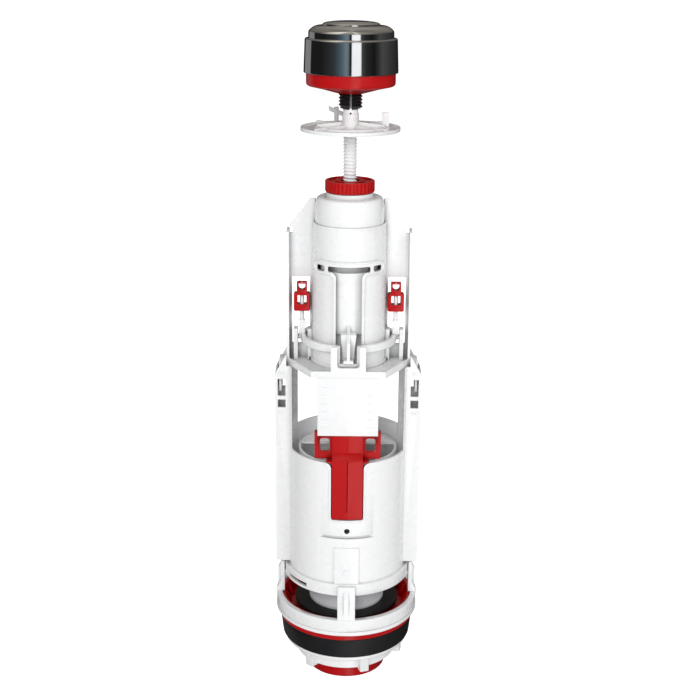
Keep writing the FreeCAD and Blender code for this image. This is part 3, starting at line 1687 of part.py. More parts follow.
def make_threaded_shank():
    """Black shank for the lid nut, held in the cup by its flange and slotted at the front."""
    solid = Solid("threaded_shank")
    floor = size.cup_knee_height + size.button_cup_wall
    flange_up = floor + size.shank_flange_thickness
    solid.turn([
        (shank_bore, size.shank_bottom),
        (size.shank_radius, size.shank_bottom, size.soft_edge),
        (size.shank_radius, floor),
        (size.shank_flange_radius, floor),
        (size.shank_flange_radius, flange_up, size.fine_edge),
        (shank_bore, flange_up),
    ])
    half = size.shank_slot_width / 2
    solid.pocket("XZ", rectangle(-half, half, size.shank_bottom - size.soft_edge,
                                 size.cup_neck_bottom), -size.shank_radius * 2, -shank_bore / 2)
    return solid.done()


def make_bezel_ring():
    """Chrome ring round the buttons, standing on the cup by an inner flange."""
    solid = Solid("bezel_ring")
    bezel_inner = size.button_radius + size.button_gap
    flange_up = size.bezel_bottom + size.bezel_flange_thickness
    solid.turn([
        (size.bezel_flange_inner, size.bezel_bottom),
        (size.bezel_radius, size.bezel_bottom, size.bezel_edge),
        (size.bezel_top_radius, bezel_top, size.bezel_edge),
        (bezel_inner, bezel_top, size.fine_edge),
        (bezel_inner, flange_up),
        (size.bezel_flange_inner, flange_up),
    ])
    return solid.done()


def make_full_flush_button():
    """Outer button: a sloping ring with a well for the half-flush button and a hub below."""
    solid = Solid("full_flush_button")
    inner = size.button_radius - size.button_wall
    stem_hole = size.half_stem_radius + size.slide_gap
    hub_outer = pusher_radius + size.button_hub_wall
    skirt_bottom = size.button_shoulder_height - size.button_skirt
    hub_bottom = well_underside - size.button_hub_length
    solid.turn([
        (stem_hole, well_bottom),
        (size.well_radius, well_bottom),
        (size.well_radius, size.button_top_height, size.fine_edge),
        (size.button_radius, size.button_shoulder_height, size.button_shoulder_corner),
        (size.button_radius, skirt_bottom),
        (inner, skirt_bottom),
        (inner, size.button_shoulder_height - size.button_wall),
        (size.well_radius + size.button_wall, size.button_top_height - size.button_wall * 2),
        (size.well_radius + size.button_wall, well_underside),
        (hub_outer, well_underside),
        (hub_outer, hub_bottom),
        (pusher_radius, hub_bottom),
        (pusher_radius, well_underside),
        (stem_hole, well_underside),
    ])
    return solid.done()


def make_button_pusher():
    """Rod that the full-flush button drives down through the shank."""
    solid = Solid("button_pusher")
    solid.turn([
        (0, size.shank_bottom),
        (pusher_radius, size.shank_bottom, size.soft_edge),
        (pusher_radius, pusher_top),
        (0, pusher_top),
    ])
    return solid.done()


def make_half_flush_button():
    """Inner button: a slightly domed cap on a stem that runs in the outer button."""
    solid = Solid("half_flush_button")
    outer = size.well_radius - size.half_gap
    inner = outer - size.half_wall
    ceiling = size.half_edge_height - size.half_wall
    skirt_bottom = size.half_edge_height - size.half_skirt
    bevel_top = size.half_edge_height + size.half_edge_bevel
    crown = bevel_top + size.half_crown
    solid.turn([
        (0, size.half_stem_bottom),
        (size.half_stem_radius, size.half_stem_bottom, size.fine_edge),
        (size.half_stem_radius, ceiling),
        (inner, ceiling),
        (inner, skirt_bottom),
        (outer, skirt_bottom),
        (outer, size.half_edge_height),
        (outer - size.half_edge_bevel, bevel_top, size.soft_edge),
        (outer / 2, crown - size.half_crown / 4),
        (outer / 4, crown),
        (0, crown),
    ])
    return solid.done()


# Put it all together

make_seat_base()
make_base_gasket()
make_base_nut()
make_base_basket()
make_outer_body()
make_volume_cup()
make_scale_plate()
make_volume_slider()
make_lift_tube()
make_plunger_disc()
make_plunger_seal()
make_seal_retainer()
make_float_ring()
make_head_frame()
make_guide_tube()
make_head_housing()
make_hanger("left_hanger", -1)
make_hanger("right_hanger", 1)
make_pivot_post("left_inner_post", -1, size.inner_post_inner, size.inner_post_outer)
make_pivot_post("left_outer_post", -1, size.outer_post_inner, size.outer_post_outer)
make_pivot_post("right_inner_post", 1, size.inner_post_inner, size.inner_post_outer)
make_pivot_post("right_outer_post", 1, size.outer_post_inner, size.outer_post_outer)
make_lift_yoke()
make_adjuster_clip("left_adjuster_clip", -1)
make_adjuster_clip("right_adjuster_clip", 1)
make_press_cap()
make_press_sleeve()
make_push_rod()
make_lock_nut()
make_press_disc()
make_disc_clip()
make_button_cup()
make_threaded_shank()
make_bezel_ring()
make_full_flush_button()
make_button_pusher()
make_half_flush_button()

shank_flange_top = size.cup_knee_height + size.button_cup_wall + size.shank_flange_thickness
half_ceiling = size.half_edge_height - size.half_wall
coil("return_spring", size.return_spring_radius, size.return_wire_radius,
     guide_top, cap_ceiling, size.return_turns)
coil("full_button_spring", size.full_spring_radius, size.full_wire_radius,
     shank_flange_top, well_underside, size.full_turns)
coil("half_button_spring", size.half_spring_radius, size.half_wire_radius,
     well_bottom, half_ceiling, size.half_turns)

document.recompute()

for item in document.Objects:
    if "Invalid" in item.State or "Error" in item.State:
        raise RuntimeError("not built: " + item.Name + " " + str(item.State))
for piece in pieces:
    if piece.Shape.isNull() or not piece.Shape.isValid():
        raise RuntimeError("no valid solid: " + piece.Label)

os.makedirs("parts", exist_ok=True)
for piece in pieces:
    piece.Shape.exportStep("parts/" + piece.Label + ".step")
    print("%-20s %2d solid(s) %9.1f mm3" % (piece.Label, len(piece.Shape.Solids), piece.Shape.Volume))
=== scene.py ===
"""Studio scene of a dual-flush cistern valve, dressed over its fixed CAD frame."""

import logging
import math
from dataclasses import dataclass, field
from enum import Enum
from functools import cache
from typing import Optional, Sequence

import bmesh
import bpy
from mathutils import Matrix, Vector


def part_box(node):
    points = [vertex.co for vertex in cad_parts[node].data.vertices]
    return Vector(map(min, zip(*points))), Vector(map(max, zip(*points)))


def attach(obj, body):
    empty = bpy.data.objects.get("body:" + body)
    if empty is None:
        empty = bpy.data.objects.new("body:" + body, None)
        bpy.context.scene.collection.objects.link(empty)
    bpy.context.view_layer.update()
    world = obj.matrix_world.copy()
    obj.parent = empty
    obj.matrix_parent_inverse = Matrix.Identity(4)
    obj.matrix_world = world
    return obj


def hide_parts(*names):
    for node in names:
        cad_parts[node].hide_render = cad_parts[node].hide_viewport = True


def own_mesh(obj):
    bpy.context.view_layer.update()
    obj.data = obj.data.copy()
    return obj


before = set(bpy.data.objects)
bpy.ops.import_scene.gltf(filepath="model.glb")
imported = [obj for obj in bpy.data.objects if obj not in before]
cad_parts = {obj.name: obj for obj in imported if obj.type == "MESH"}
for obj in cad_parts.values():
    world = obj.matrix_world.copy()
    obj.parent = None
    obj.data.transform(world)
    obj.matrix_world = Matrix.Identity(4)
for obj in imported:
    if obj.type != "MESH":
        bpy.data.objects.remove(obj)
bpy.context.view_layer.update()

MM = 0.001

log = logging.getLogger("flush_valve")


class Slot(Enum):
    """The record's material slots."""

    WHITE = "white_plastic"
    # Grey, darker than the white plastic: painted shade on the plunger plate, which is white
    # plastic lying in shade; the plate clip takes the same grey.
    GREY_AND_PAINTED_SHADE = "grey_plastic"
    RED = "red_plastic"
    CHROME = "chrome_trim"
    BLACK = "black_plastic"
    RUBBER = "black_rubber"
    STEEL = "spring_steel"


class Plane(Enum):
    """The plane in which a flat outline is drawn before it is thickened."""

    FRONT = "x and z, thickened along y"
    SIDE = "y and z, thickened along x"
    LEVEL = "x and y, thickened along z"


# Node trees


class Graph:
    """A node tree with short calls to add and join its nodes."""

    def __init__(self, tree: bpy.types.NodeTree) -> None:
        """Start on a tree.

        Args:
            tree: The shader or geometry tree to build in.
        """
        self.tree = tree
        self.column = 0

    def add(self, kind: str, **inputs: object) -> bpy.types.Node:
        """Add a node and set its unlinked inputs.

        Args:
            kind: Blender's name for the node type.
            **inputs: Values by input name, with underscores for spaces.

        Returns:
            The new node.
        """
        node = self.tree.nodes.new(kind)
        node.location = (self.column * 190, 0)
        self.column += 1
        for name, value in inputs.items():
            node.inputs[name.replace("_", " ")].default_value = value
        return node

    def operate(self, kind: str, operation: str) -> bpy.types.Node:
        """Add a math node.

        Args:
            kind: Blender's name for the node type.
            operation: Blender's name for what it does.

        Returns:
            The new node.
        """
        node = self.add(kind)
        node.operation = operation
        return node

    def group(self, tree: bpy.types.NodeTree) -> bpy.types.Node:
        """Add a node that runs a shader group."""
        node = self.add("ShaderNodeGroup")
        node.node_tree = tree
        return node

    def join(
        self, source: bpy.types.Node, output: str | int, target: bpy.types.Node, entry: str | int
    ) -> None:
        """Link a node's output to another node's input, each by name or number."""
        self.tree.links.new(source.outputs[output], target.inputs[entry])


def cleared(owner: bpy.types.Material | bpy.types.World) -> Graph:
    """Give a material or a world an empty tree to build in."""
    owner.use_nodes = True
    owner.node_tree.nodes.clear()
    return Graph(owner.node_tree)


def group_socket(
    tree: bpy.types.NodeTree, name: str, kind: str, into: bool, default: object = None
) -> None:
    """Add a named socket to a node group.

    Args:
        tree: The group.
        name: The socket's name.
        kind: The socket type's end, such as "Float".
        into: True for an input and False for an output.
        default: The input's default value, if it has one.
    """
    socket = tree.interface.new_socket(
        name=name, in_out="INPUT" if into else "OUTPUT", socket_type="NodeSocket" + kind
    )
    if default is not None:
        socket.default_value = default


# Shader groups that the finishes share


def shader_group(
    name: str, inputs: dict[str, float], outputs: Sequence[str]
) -> tuple[Graph, bpy.types.Node, bpy.types.Node]:
    """Start a shader group whose sockets are plain numbers.

    Args:
        name: The group's name.
        inputs: Default values by input name.
        outputs: The outputs' names.

    Returns:
        Its graph, its input node and its output node.
    """
    tree = bpy.data.node_groups.new(name, "ShaderNodeTree")
    for label, default in inputs.items():
        group_socket(tree, label, "Float", True, default)
    for label in outputs:
        group_socket(tree, label, "Float", False)
    graph = Graph(tree)
    return graph, graph.add("NodeGroupInput"), graph.add("NodeGroupOutput")


@cache
def moulded_skin_group() -> bpy.types.NodeTree:
    """Fine grain and slow clouds, as a moulded surface has.

    Returns:
        The group, with outputs Grain and Cloud.
    """
    graph, entry, leave = shader_group(
        "Moulded skin", {"Grain Scale": 1600.0, "Cloud Scale": 38.0}, ("Grain", "Cloud"))
    place = graph.add("ShaderNodeTexCoord")
    grain = graph.add("ShaderNodeTexNoise", Detail=3.0, Roughness=0.6)
    cloud = graph.add("ShaderNodeTexNoise", Detail=2.0, Roughness=0.5)
    spread = graph.add("ShaderNodeMapRange", From_Min=0.32, From_Max=0.68)
    for noise, scale in ((grain, "Grain Scale"), (cloud, "Cloud Scale")):
        graph.join(place, "Object", noise, "Vector")
        graph.join(entry, scale, noise, "Scale")
    graph.join(cloud, "Fac", spread, "Value")
    graph.join(grain, "Fac", leave, "Grain")
    graph.join(spread, "Result", leave, "Cloud")
    return graph.tree


@cache
def handling_marks_group() -> bpy.types.NodeTree:
    """Faint rubs, as handling and packing leave.

    Returns:
        The group, with the output Marks from 0, untouched, to 1, rubbed.
    """
    graph, entry, leave = shader_group(
        "Handling marks", {"Mark Scale": 60.0, "Stretch": 1.4}, ("Marks",))
    place = graph.add("ShaderNodeTexCoord")
    stretch = graph.add("ShaderNodeCombineXYZ", X=1.0, Y=1.0)
    scale = graph.operate("ShaderNodeVectorMath", "MULTIPLY")
    turn = graph.add("ShaderNodeVectorRotate", Angle=0.7, Axis=(0.3, 0.8, 0.5))
    noise = graph.add("ShaderNodeTexNoise", Detail=4.0, Roughness=0.7)
    spread = graph.add("ShaderNodeMapRange", From_Min=0.5, From_Max=0.72)
    graph.join(entry, "Stretch", stretch, "Z")
    graph.join(place, "Object", turn, "Vector")
    graph.join(turn, "Vector", scale, 0)
    graph.join(stretch, "Vector", scale, 1)
    graph.join(scale, "Vector", noise, "Vector")
    graph.join(entry, "Mark Scale", noise, "Scale")
    graph.join(noise, "Fac", spread, "Value")
    graph.join(spread, "Result", leave, "Marks")
    return graph.tree


@cache
def painted_crevice_shade_group() -> bpy.types.NodeTree:
    """Painted shade: ambient occlusion that darkens the base colour in narrow gaps and inner
    corners.

    Returns:
        The group, with the output Open from 0, enclosed, to 1, free.
    """
    # Painted shade in crevices, taken from an ambient occlusion mask.
    graph, entry, leave = shader_group("Painted crevice shade", {"Reach": 0.005}, ("Open",))
    near = graph.add("ShaderNodeAmbientOcclusion")
    near.samples = 20
    spread = graph.add("ShaderNodeMapRange", From_Min=0.15, From_Max=0.75)
    graph.join(entry, "Reach", near, "Distance")
    graph.join(near, "AO", spread, "Value")
    graph.join(spread, "Result", leave, "Open")
    return graph.tree


# Finishes


@dataclass(frozen=True)
class Finish:
    """A procedural finish for one material slot."""

    slot: Slot
    colour: tuple[float, float, float]
    shade: tuple[float, float, float]
    roughness: float
    rubbed_roughness: float
    grain_scale: float
    grain_depth: float
    metallic: float = 0.0
    coat: float = 0.0
    coat_roughness: float = 0.1
    ior: float = 1.49
    # Lowest factor of the painted crevice shade on the base colour; 1 leaves it off.
    painted_crevice_shade: float = 0.45

    def material(self) -> bpy.types.Material:
        """Build the finish's material, or give the one that is already built."""
        name = self.slot.value
        if name in bpy.data.materials and bpy.data.materials[name].get("dressed"):
            return bpy.data.materials[name]
        made = bpy.data.materials.new(name)
        old = bpy.data.materials.get(name)
        if old is not made:
            old.name = name + "_cad"
            made.name = name
        made["dressed"] = True
        made.diffuse_color = (*self.colour, 1.0)
        self._wire(cleared(made))
        return made

    def _wire(self, graph: Graph) -> None:
        """Join the shared groups to the surface.

        Args:
            graph: The material's empty tree.
        """
        skin = graph.group(moulded_skin_group())
        skin.inputs["Grain Scale"].default_value = self.grain_scale
        marks = graph.group(handling_marks_group())
        tint = graph.add("ShaderNodeMix")
        tint.data_type = "RGBA"
        tint.inputs["A"].default_value = (*self.colour, 1.0)
        tint.inputs["B"].default_value = (*self.shade, 1.0)
        # Painted shade: the ambient occlusion mask darkens the base colour in crevices.
        painted_shade = graph.group(painted_crevice_shade_group())
        depth = graph.add("ShaderNodeMapRange", To_Min=self.painted_crevice_shade)
        shaded = graph.operate("ShaderNodeVectorMath", "SCALE")
        gloss = graph.add(
            "ShaderNodeMapRange", To_Min=self.roughness, To_Max=self.rubbed_roughness
        )
        bump = graph.add("ShaderNodeBump", Strength=0.6, Distance=self.grain_depth * MM)
        surface = graph.add(
            "ShaderNodeBsdfPrincipled",
            Metallic=self.metallic,
            Coat_Weight=self.coat,
            Coat_Roughness=self.coat_roughness,
            IOR=self.ior,
        )
        leave = graph.add("ShaderNodeOutputMaterial")
        graph.join(skin, "Cloud", tint, "Factor")
        graph.join(painted_shade, "Open", depth, "Value")
        graph.join(tint, "Result", shaded, 0)
        graph.join(depth, "Result", shaded, "Scale")
        graph.join(shaded, "Vector", surface, "Base Color")
        graph.join(marks, "Marks", gloss, "Value")
        graph.join(gloss, "Result", surface, "Roughness")
        graph.join(skin, "Grain", bump, "Height")
        graph.join(bump, "Normal", surface, "Normal")
        graph.join(surface, "BSDF", leave, "Surface")


FINISHES = {
    finish.slot: finish
    for finish in (
        Finish(Slot.WHITE, (0.86, 0.865, 0.87), (0.853, 0.858, 0.864), 0.27, 0.33, 1500, 0.003,
               coat=0.25, coat_roughness=0.16),
        # Grey set darker than the white: painted shade for the white plunger plate in shade; the
        # plate clip uses it too.
        Finish(Slot.GREY_AND_PAINTED_SHADE, (0.58, 0.595, 0.61), (0.54, 0.555, 0.57), 0.34, 0.42, 1300, 0.015),
        Finish(Slot.RED, (0.47, 0.003, 0.004), (0.43, 0.002, 0.003), 0.28, 0.38, 1400, 0.012,
               ior=1.42, coat=0.1, coat_roughness=0.12),
        # Chrome takes no painted crevice shade.
        Finish(Slot.CHROME, (0.66, 0.67, 0.69), (0.60, 0.61, 0.63), 0.035, 0.10, 500, 0.001,
               metallic=1.0, painted_crevice_shade=1.0),
        Finish(Slot.BLACK, (0.020, 0.021, 0.023), (0.012, 0.013, 0.014), 0.20, 0.30, 1300, 0.01),
        Finish(Slot.RUBBER, (0.008, 0.008, 0.009), (0.013, 0.013, 0.014), 0.50, 0.68, 2200, 0.05),
        Finish(Slot.STEEL, (0.52, 0.53, 0.55), (0.44, 0.45, 0.46), 0.22, 0.38, 900, 0.01,
               metallic=1.0),
    )
}


# Mesh tools


def rounded(outline: Sequence[Sequence[float]], steps: int = 6) -> list[tuple[float, float]]:
    """Round the marked corners of a closed outline.

    Args:
        outline: Corners (a, b) that stay sharp, or (a, b, radius) that are rounded.
        steps: How many edges each rounded corner gets.

    Returns:
        The points of the outline, in order.
    """
    points: list[tuple[float, float]] = []
    count = len(outline)
    for index, corner in enumerate(outline):
        here = Vector(corner[:2])
        if len(corner) < 3:
            points.append((here.x, here.y))
            continue
        back = (Vector(outline[index - 1][:2]) - here).normalized()
        ahead = (Vector(outline[(index + 1) % count][:2]) - here).normalized()
        half = back.angle(ahead) / 2
        centre = here + (back + ahead).normalized() * (corner[2] / math.sin(half))
        start = here + back * (corner[2] / math.tan(half)) - centre
        finish = here + ahead * (corner[2] / math.tan(half)) - centre
        sweep = start.angle_signed(finish)
        for step in range(steps + 1):
            turned = start.copy()
            turned.rotate(Matrix.Rotation(-sweep * step / steps, 2))
            points.append((centre.x + turned.x, centre.y + turned.y))
    return points


def rectangle(
    left: float, right: float, low: float, high: float, corner: float = 0.0
) -> list[tuple[float, ...]]:
    """Corners of an upright rectangle, rounded if it has a corner radius."""
    end = (corner,) if corner else ()
    return [(left, low, *end), (right, low, *end), (right, high, *end), (left, high, *end)]


def object_from(name: str, mesh: bpy.types.Mesh) -> bpy.types.Object:
    """Put a mesh in the scene as an object at the origin."""
    made = bpy.data.objects.new(name, mesh)
    bpy.context.scene.collection.objects.link(made)
    return made


def lathe(name: str, outline: Sequence[Sequence[float]], segments: int = 144) -> bpy.types.Object:
    """Turn a closed section about the valve's axis.

    Args:
        name: The piece's name.
        outline: Section corners (radius, height[, corner radius]) in millimetres.
        segments: Steps round the axis.

    Returns:
        The new object.
    """
    points = rounded(outline)
    shape = bmesh.new()
    rings = []
    for step in range(segments):
        angle = 2 * math.pi * step / segments
        rings.append([
            shape.verts.new((r * MM * math.cos(angle), r * MM * math.sin(angle), z * MM))
            for r, z in points
        ])
    for step in range(segments):
        near = rings[step]
        far = rings[(step + 1) % segments]
        for index in range(len(points)):
            following = (index + 1) % len(points)
            shape.faces.new((near[index], far[index], far[following], near[following]))
    bmesh.ops.remove_doubles(shape, verts=shape.verts, dist=1e-7)
    bmesh.ops.dissolve_degenerate(shape, edges=shape.edges, dist=1e-7)
    bmesh.ops.recalc_face_normals(shape, faces=shape.faces)
    mesh = bpy.data.meshes.new(name)
    shape.to_mesh(mesh)
    shape.free()
    return object_from(name, mesh)


def plate(
    name: str,
    plane: Plane,
    outline: Sequence[Sequence[float]],
    start: float,
    end: float,
    edge: float = 0.0,
) -> bpy.types.Object:
    """Thicken a flat outline into a plate with softened edges.

    Args:
        name: The piece's name.
        plane: The plane of the outline.
        outline: Corners in millimetres, some with a corner radius.
        start: Where the plate starts along the plane's normal, in millimetres.
        end: Where it ends.
        edge: Width of the bevel round the plate's faces.

    Returns:
        The new object.
    """
    shape = bmesh.new()

    def put(point: tuple[float, float], depth: float) -> bmesh.types.BMVert:
        """Add a vertex at a point of the outline."""
        spots = {
            Plane.FRONT: (point[0], depth, point[1]),
            Plane.SIDE: (depth, point[0], point[1]),
            Plane.LEVEL: (point[0], point[1], depth),
        }
        return shape.verts.new([value * MM for value in spots[plane]])

    points = rounded(outline)
    near = [put(point, start) for point in points]
    far = [put(point, end) for point in points]
    caps = [shape.faces.new(near), shape.faces.new(far[::-1])]
    for index in range(len(points)):
        following = (index + 1) % len(points)
        shape.faces.new((near[index], near[following], far[following], far[index]))
    bmesh.ops.recalc_face_normals(shape, faces=shape.faces)
    if edge:
        rims = {e for cap in caps for e in cap.edges}
        bmesh.ops.bevel(shape, geom=list(rims), offset=edge * MM, segments=2, profile=0.5,
                        affect="EDGES", clamp_overlap=True)
    mesh = bpy.data.meshes.new(name)
    shape.to_mesh(mesh)
    shape.free()
    return object_from(name, mesh)


def settle(piece: bpy.types.Object) -> None:
    """Apply a piece's modifiers and take them off."""
    bpy.context.view_layer.update()
    depsgraph = bpy.context.evaluated_depsgraph_get()
    mesh = bpy.data.meshes.new_from_object(piece.evaluated_get(depsgraph))
    piece.modifiers.clear()
    piece.data = mesh


def merge(name: str, parts: Sequence[bpy.types.Object]) -> bpy.types.Object:
    """Gather several meshes into one piece.

    Args:
        name: The gathered piece's name.
        parts: The objects to gather, which are removed.

    Returns:
        The gathered object.
    """
    shape = bmesh.new()
    for part in parts:
        shape.from_mesh(part.data)
        bpy.data.objects.remove(part)
    mesh = bpy.data.meshes.new(name)
    shape.to_mesh(mesh)
    shape.free()
    return object_from(name, mesh)


def cut(piece: bpy.types.Object, cutters: Sequence[bpy.types.Object]) -> bpy.types.Object:
    """Cut shapes out of a piece.

    Args:
        piece: The piece that is cut.
        cutters: Closed shapes, which are removed afterwards.

    Returns:
        The same piece.
    """
    for cutter in cutters:
        knife = piece.modifiers.new("cut", "BOOLEAN")
        knife.operation = "DIFFERENCE"
        knife.solver = "EXACT"
        knife.object = cutter
    settle(piece)
    for cutter in cutters:
        bpy.data.objects.remove(cutter)
    return piece


def traced(name: str, node: str, edge: float) -> bpy.types.Object:
    """Copy a CAD node's mesh, merge it and soften its sharp edges.

    Args:
        name: The piece's name.
        node: The CAD node to follow.
        edge: Width of the soft edge in millimetres, or 0 to keep the edges.

    Returns:
        The new object.
    """
    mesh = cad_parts[node].data.copy()
    mesh.materials.clear()
    shape = bmesh.new()
    shape.from_mesh(mesh)
    bmesh.ops.remove_doubles(shape, verts=shape.verts, dist=2e-6)
    bmesh.ops.dissolve_limit(
        shape, angle_limit=math.radians(0.4), verts=shape.verts, edges=shape.edges)
    shape.to_mesh(mesh)
    shape.free()
    if mesh.has_custom_normals:
        mesh.normals_split_custom_set([(0.0, 0.0, 0.0)] * len(mesh.loops))
    piece = object_from(name, mesh)
    if edge:
        soft = piece.modifiers.new("soft edge", "BEVEL")
        soft.width = edge * MM
        soft.segments = 2
        soft.limit_method = "ANGLE"
        soft.angle_limit = math.radians(40)
        soft.use_clamp_overlap = True
        soft.harden_normals = False
        settle(piece)
    return piece


def dress(
    piece: bpy.types.Object,
    slot: Slot,
    body: str,
    stands_for: Sequence[str] = (),
    smooth: float = 32.0,
) -> bpy.types.Object:
    """Give a piece its finish, smooth shading and the body it rides on.

    Args:
        piece: The finished mesh.
        slot: The finish it takes.
        body: The CAD body that carries it.
        stands_for: CAD nodes that it replaces.
        smooth: Edges above this angle in degrees stay sharp.

    Returns:
        The same piece.
    """
    mesh = piece.data
    mesh.materials.clear()
    mesh.materials.append(FINISHES[slot].material())
    mesh.polygons.foreach_set("material_index", [0] * len(mesh.polygons))
    mesh.polygons.foreach_set("use_smooth", [True] * len(mesh.polygons))
    mesh.set_sharp_from_angle(angle=math.radians(smooth))
    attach(piece, body)
    if stands_for:
        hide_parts(*stands_for)
    log.info("%-22s %6d faces on %s", piece.name, len(mesh.polygons), body)
    return piece


def trace_all(body: str, rows: Sequence[tuple[str, str, Slot, float]]) -> None:
    """Dress CAD nodes whose own shapes are kept.

    Args:
        body: The CAD body that carries them.
        rows: The piece's name, its node, its slot and its edge radius, for each.
    """
    for name, node, slot, edge in rows:
        dress(traced(name, node, edge), slot, body, [node])


# Geometry Nodes recipes


class Recipe:
    """A Geometry Nodes tree with named inputs, which makes a plain mesh."""

    def __init__(self, name: str) -> None:
        """Start an empty recipe.

        Args:
            name: The tree's name.
        """
        self.tree = bpy.data.node_groups.new(name, "GeometryNodeTree")
        self.graph = Graph(self.tree)
        group_socket(self.tree, "Geometry", "Geometry", True)
        group_socket(self.tree, "Material", "Material", True)
        group_socket(self.tree, "Geometry", "Geometry", False)
        self.entry = self.graph.add("NodeGroupInput")

    def size(self, name: str, kind: str = "Float") -> None:
        """Add a named input."""
        group_socket(self.tree, name, kind, True)

    def feed(self, name: str, target: bpy.types.Node, entry: str | int) -> None:
        """Join a named input to a node's input."""
        self.graph.join(self.entry, name, target, entry)

    def close(self, source: bpy.types.Node, output: str) -> None:
        """End the tree with plain geometry that has its material."""
        real = self.graph.add("GeometryNodeRealizeInstances")
        paint = self.graph.add("GeometryNodeSetMaterial")
        leave = self.graph.add("NodeGroupOutput")
        self.graph.join(source, output, real, "Geometry")
        self.graph.join(real, "Geometry", paint, "Geometry")
        self.feed("Material", paint, "Material")
        self.graph.join(paint, "Geometry", leave, "Geometry")

    def make(
        self,
        name: str,
        slot: Slot,
        values: dict[str, object],
        source: Optional[bpy.types.Object] = None,
    ) -> bpy.types.Object:
        """Run the recipe and keep its result as a plain mesh.

        Args:
            name: The piece's name.
            slot: The finish for the made faces.
            values: The recipe's inputs by name.
            source: The mesh that goes in, if the recipe needs one.

        Returns:
            The made object.
        """
        piece = source or object_from(name, bpy.data.meshes.new(name))
        piece.name = name
        step = piece.modifiers.new("recipe", "NODES")
        step.node_group = self.tree
        known = {**values, "Material": FINISHES[slot].material()}
        for item in self.tree.interface.items_tree:
            if item.in_out == "INPUT" and item.name in known:
                step[item.identifier] = known[item.name]
        settle(piece)
        return piece


def coil_recipe() -> Recipe:
    """A wire or ridge wound round the valve's axis, for springs and threads."""
    recipe = Recipe("Wound wire")
    for name in ("Turns", "Radius", "Rise", "Wire", "Base"):
        recipe.size(name)
    recipe.size("Sides", "Int")
    graph = recipe.graph
    path = graph.add("GeometryNodeCurveSpiral", Resolution=48)
    normal = graph.add("GeometryNodeSetCurveNormal")
    normal.mode = "Z_UP"
    profile = graph.add("GeometryNodeCurvePrimitiveCircle")
    sweep = graph.add("GeometryNodeCurveToMesh", Fill_Caps=True)
    lift = graph.add("GeometryNodeTransform")
    height = graph.add("ShaderNodeCombineXYZ")
    recipe.feed("Turns", path, "Rotations")
    recipe.feed("Radius", path, "Start Radius")
    recipe.feed("Radius", path, "End Radius")
    recipe.feed("Rise", path, "Height")
    recipe.feed("Wire", profile, "Radius")
    recipe.feed("Sides", profile, "Resolution")
    recipe.feed("Base", height, "Z")
    graph.join(path, "Curve", normal, "Curve")
    graph.join(normal, "Curve", sweep, "Curve")
    graph.join(profile, "Curve", sweep, "Profile Curve")
    graph.join(sweep, "Mesh", lift, "Geometry")
    graph.join(height, "Vector", lift, "Translation")
    recipe.close(lift, "Geometry")
    return recipe


def ring_recipe() -> Recipe:
    """One element repeated evenly round the valve's axis."""
    recipe = Recipe("Ring of ribs")
    recipe.size("Count", "Int")
    graph = recipe.graph
    points = graph.add("GeometryNodePoints")
    index = graph.add("GeometryNodeInputIndex")
    share = graph.operate("ShaderNodeMath", "DIVIDE")
    angle = graph.operate("ShaderNodeMath", "MULTIPLY")
    angle.inputs[1].default_value = 2 * math.pi
    turn = graph.add("ShaderNodeCombineXYZ")
    place = graph.add("GeometryNodeInstanceOnPoints")
    recipe.feed("Count", points, "Count")
    recipe.feed("Count", share, 1)
    recipe.feed("Geometry", place, "Instance")
    graph.join(index, "Index", share, 0)
    graph.join(share, "Value", angle, 0)
    graph.join(angle, "Value", turn, "Z")
    graph.join(points, 0, place, "Points")
    graph.join(turn, "Vector", place, "Rotation")
    recipe.close(place, "Instances")
    return recipe


def row_recipe() -> Recipe:
    """One element repeated along a straight row."""
    recipe = Recipe("Row of ticks")
    recipe.size("Count", "Int")
    recipe.size("Step", "Vector")
    graph = recipe.graph
    points = graph.add("GeometryNodePoints")
    index = graph.add("GeometryNodeInputIndex")
    shift = graph.operate("ShaderNodeVectorMath", "SCALE")
    place = graph.add("GeometryNodeInstanceOnPoints")
    recipe.feed("Count", points, "Count")
    recipe.feed("Step", shift, "Vector")
    recipe.feed("Geometry", place, "Instance")
    graph.join(index, "Index", shift, "Scale")
    graph.join(shift, "Vector", points, "Position")
    graph.join(points, 0, place, "Points")
    recipe.close(place, "Instances")
    return recipe


def bead_recipe() -> Recipe:
    """A rounded bead that follows a line of edges."""
    recipe = Recipe("Moulded bead")
    recipe.size("Bead")
    graph = recipe.graph
    path = graph.add("GeometryNodeMeshToCurve")
    profile = graph.add("GeometryNodeCurvePrimitiveCircle", Resolution=10)
    sweep = graph.add("GeometryNodeCurveToMesh", Fill_Caps=True)
    recipe.feed("Geometry", path, "Mesh")
    recipe.feed("Bead", profile, "Radius")
    graph.join(path, "Curve", sweep, "Curve")
    graph.join(profile, "Curve", sweep, "Profile Curve")
    recipe.close(sweep, "Mesh")
    return recipe


def wrapped_line(
    name: str, points: Sequence[tuple[float, float]], radius: float, closed: bool
) -> bpy.types.Object:
    """Draw a line of edges on the front of a cylinder.

    Args:
        name: The line's name.
        points: Points (x, z) in millimetres.
        radius: The cylinder's radius in millimetres.
        closed: Whether the line comes back to its start.

    Returns:
        An object that holds edges only.
    """
    fine: list[tuple[float, float]] = []
    count = len(points)
    for index in range(count if closed else count - 1):
        start = Vector(points[index])
        end = Vector(points[(index + 1) % count])
        pieces = max(1, round((end - start).length / 1.2))
        fine += [tuple(start.lerp(end, step / pieces)) for step in range(pieces)]
    if not closed:
        fine.append(tuple(points[-1]))
    spots = [(x * MM, -math.sqrt(radius * radius - x * x) * MM, z * MM) for x, z in fine]
    edges = [(index, index + 1) for index in range(len(spots) - 1)]
    if closed:
        edges.append((len(spots) - 1, 0))
    mesh = bpy.data.meshes.new(name)
    mesh.from_pydata(spots, edges, [])
    return object_from(name, mesh)


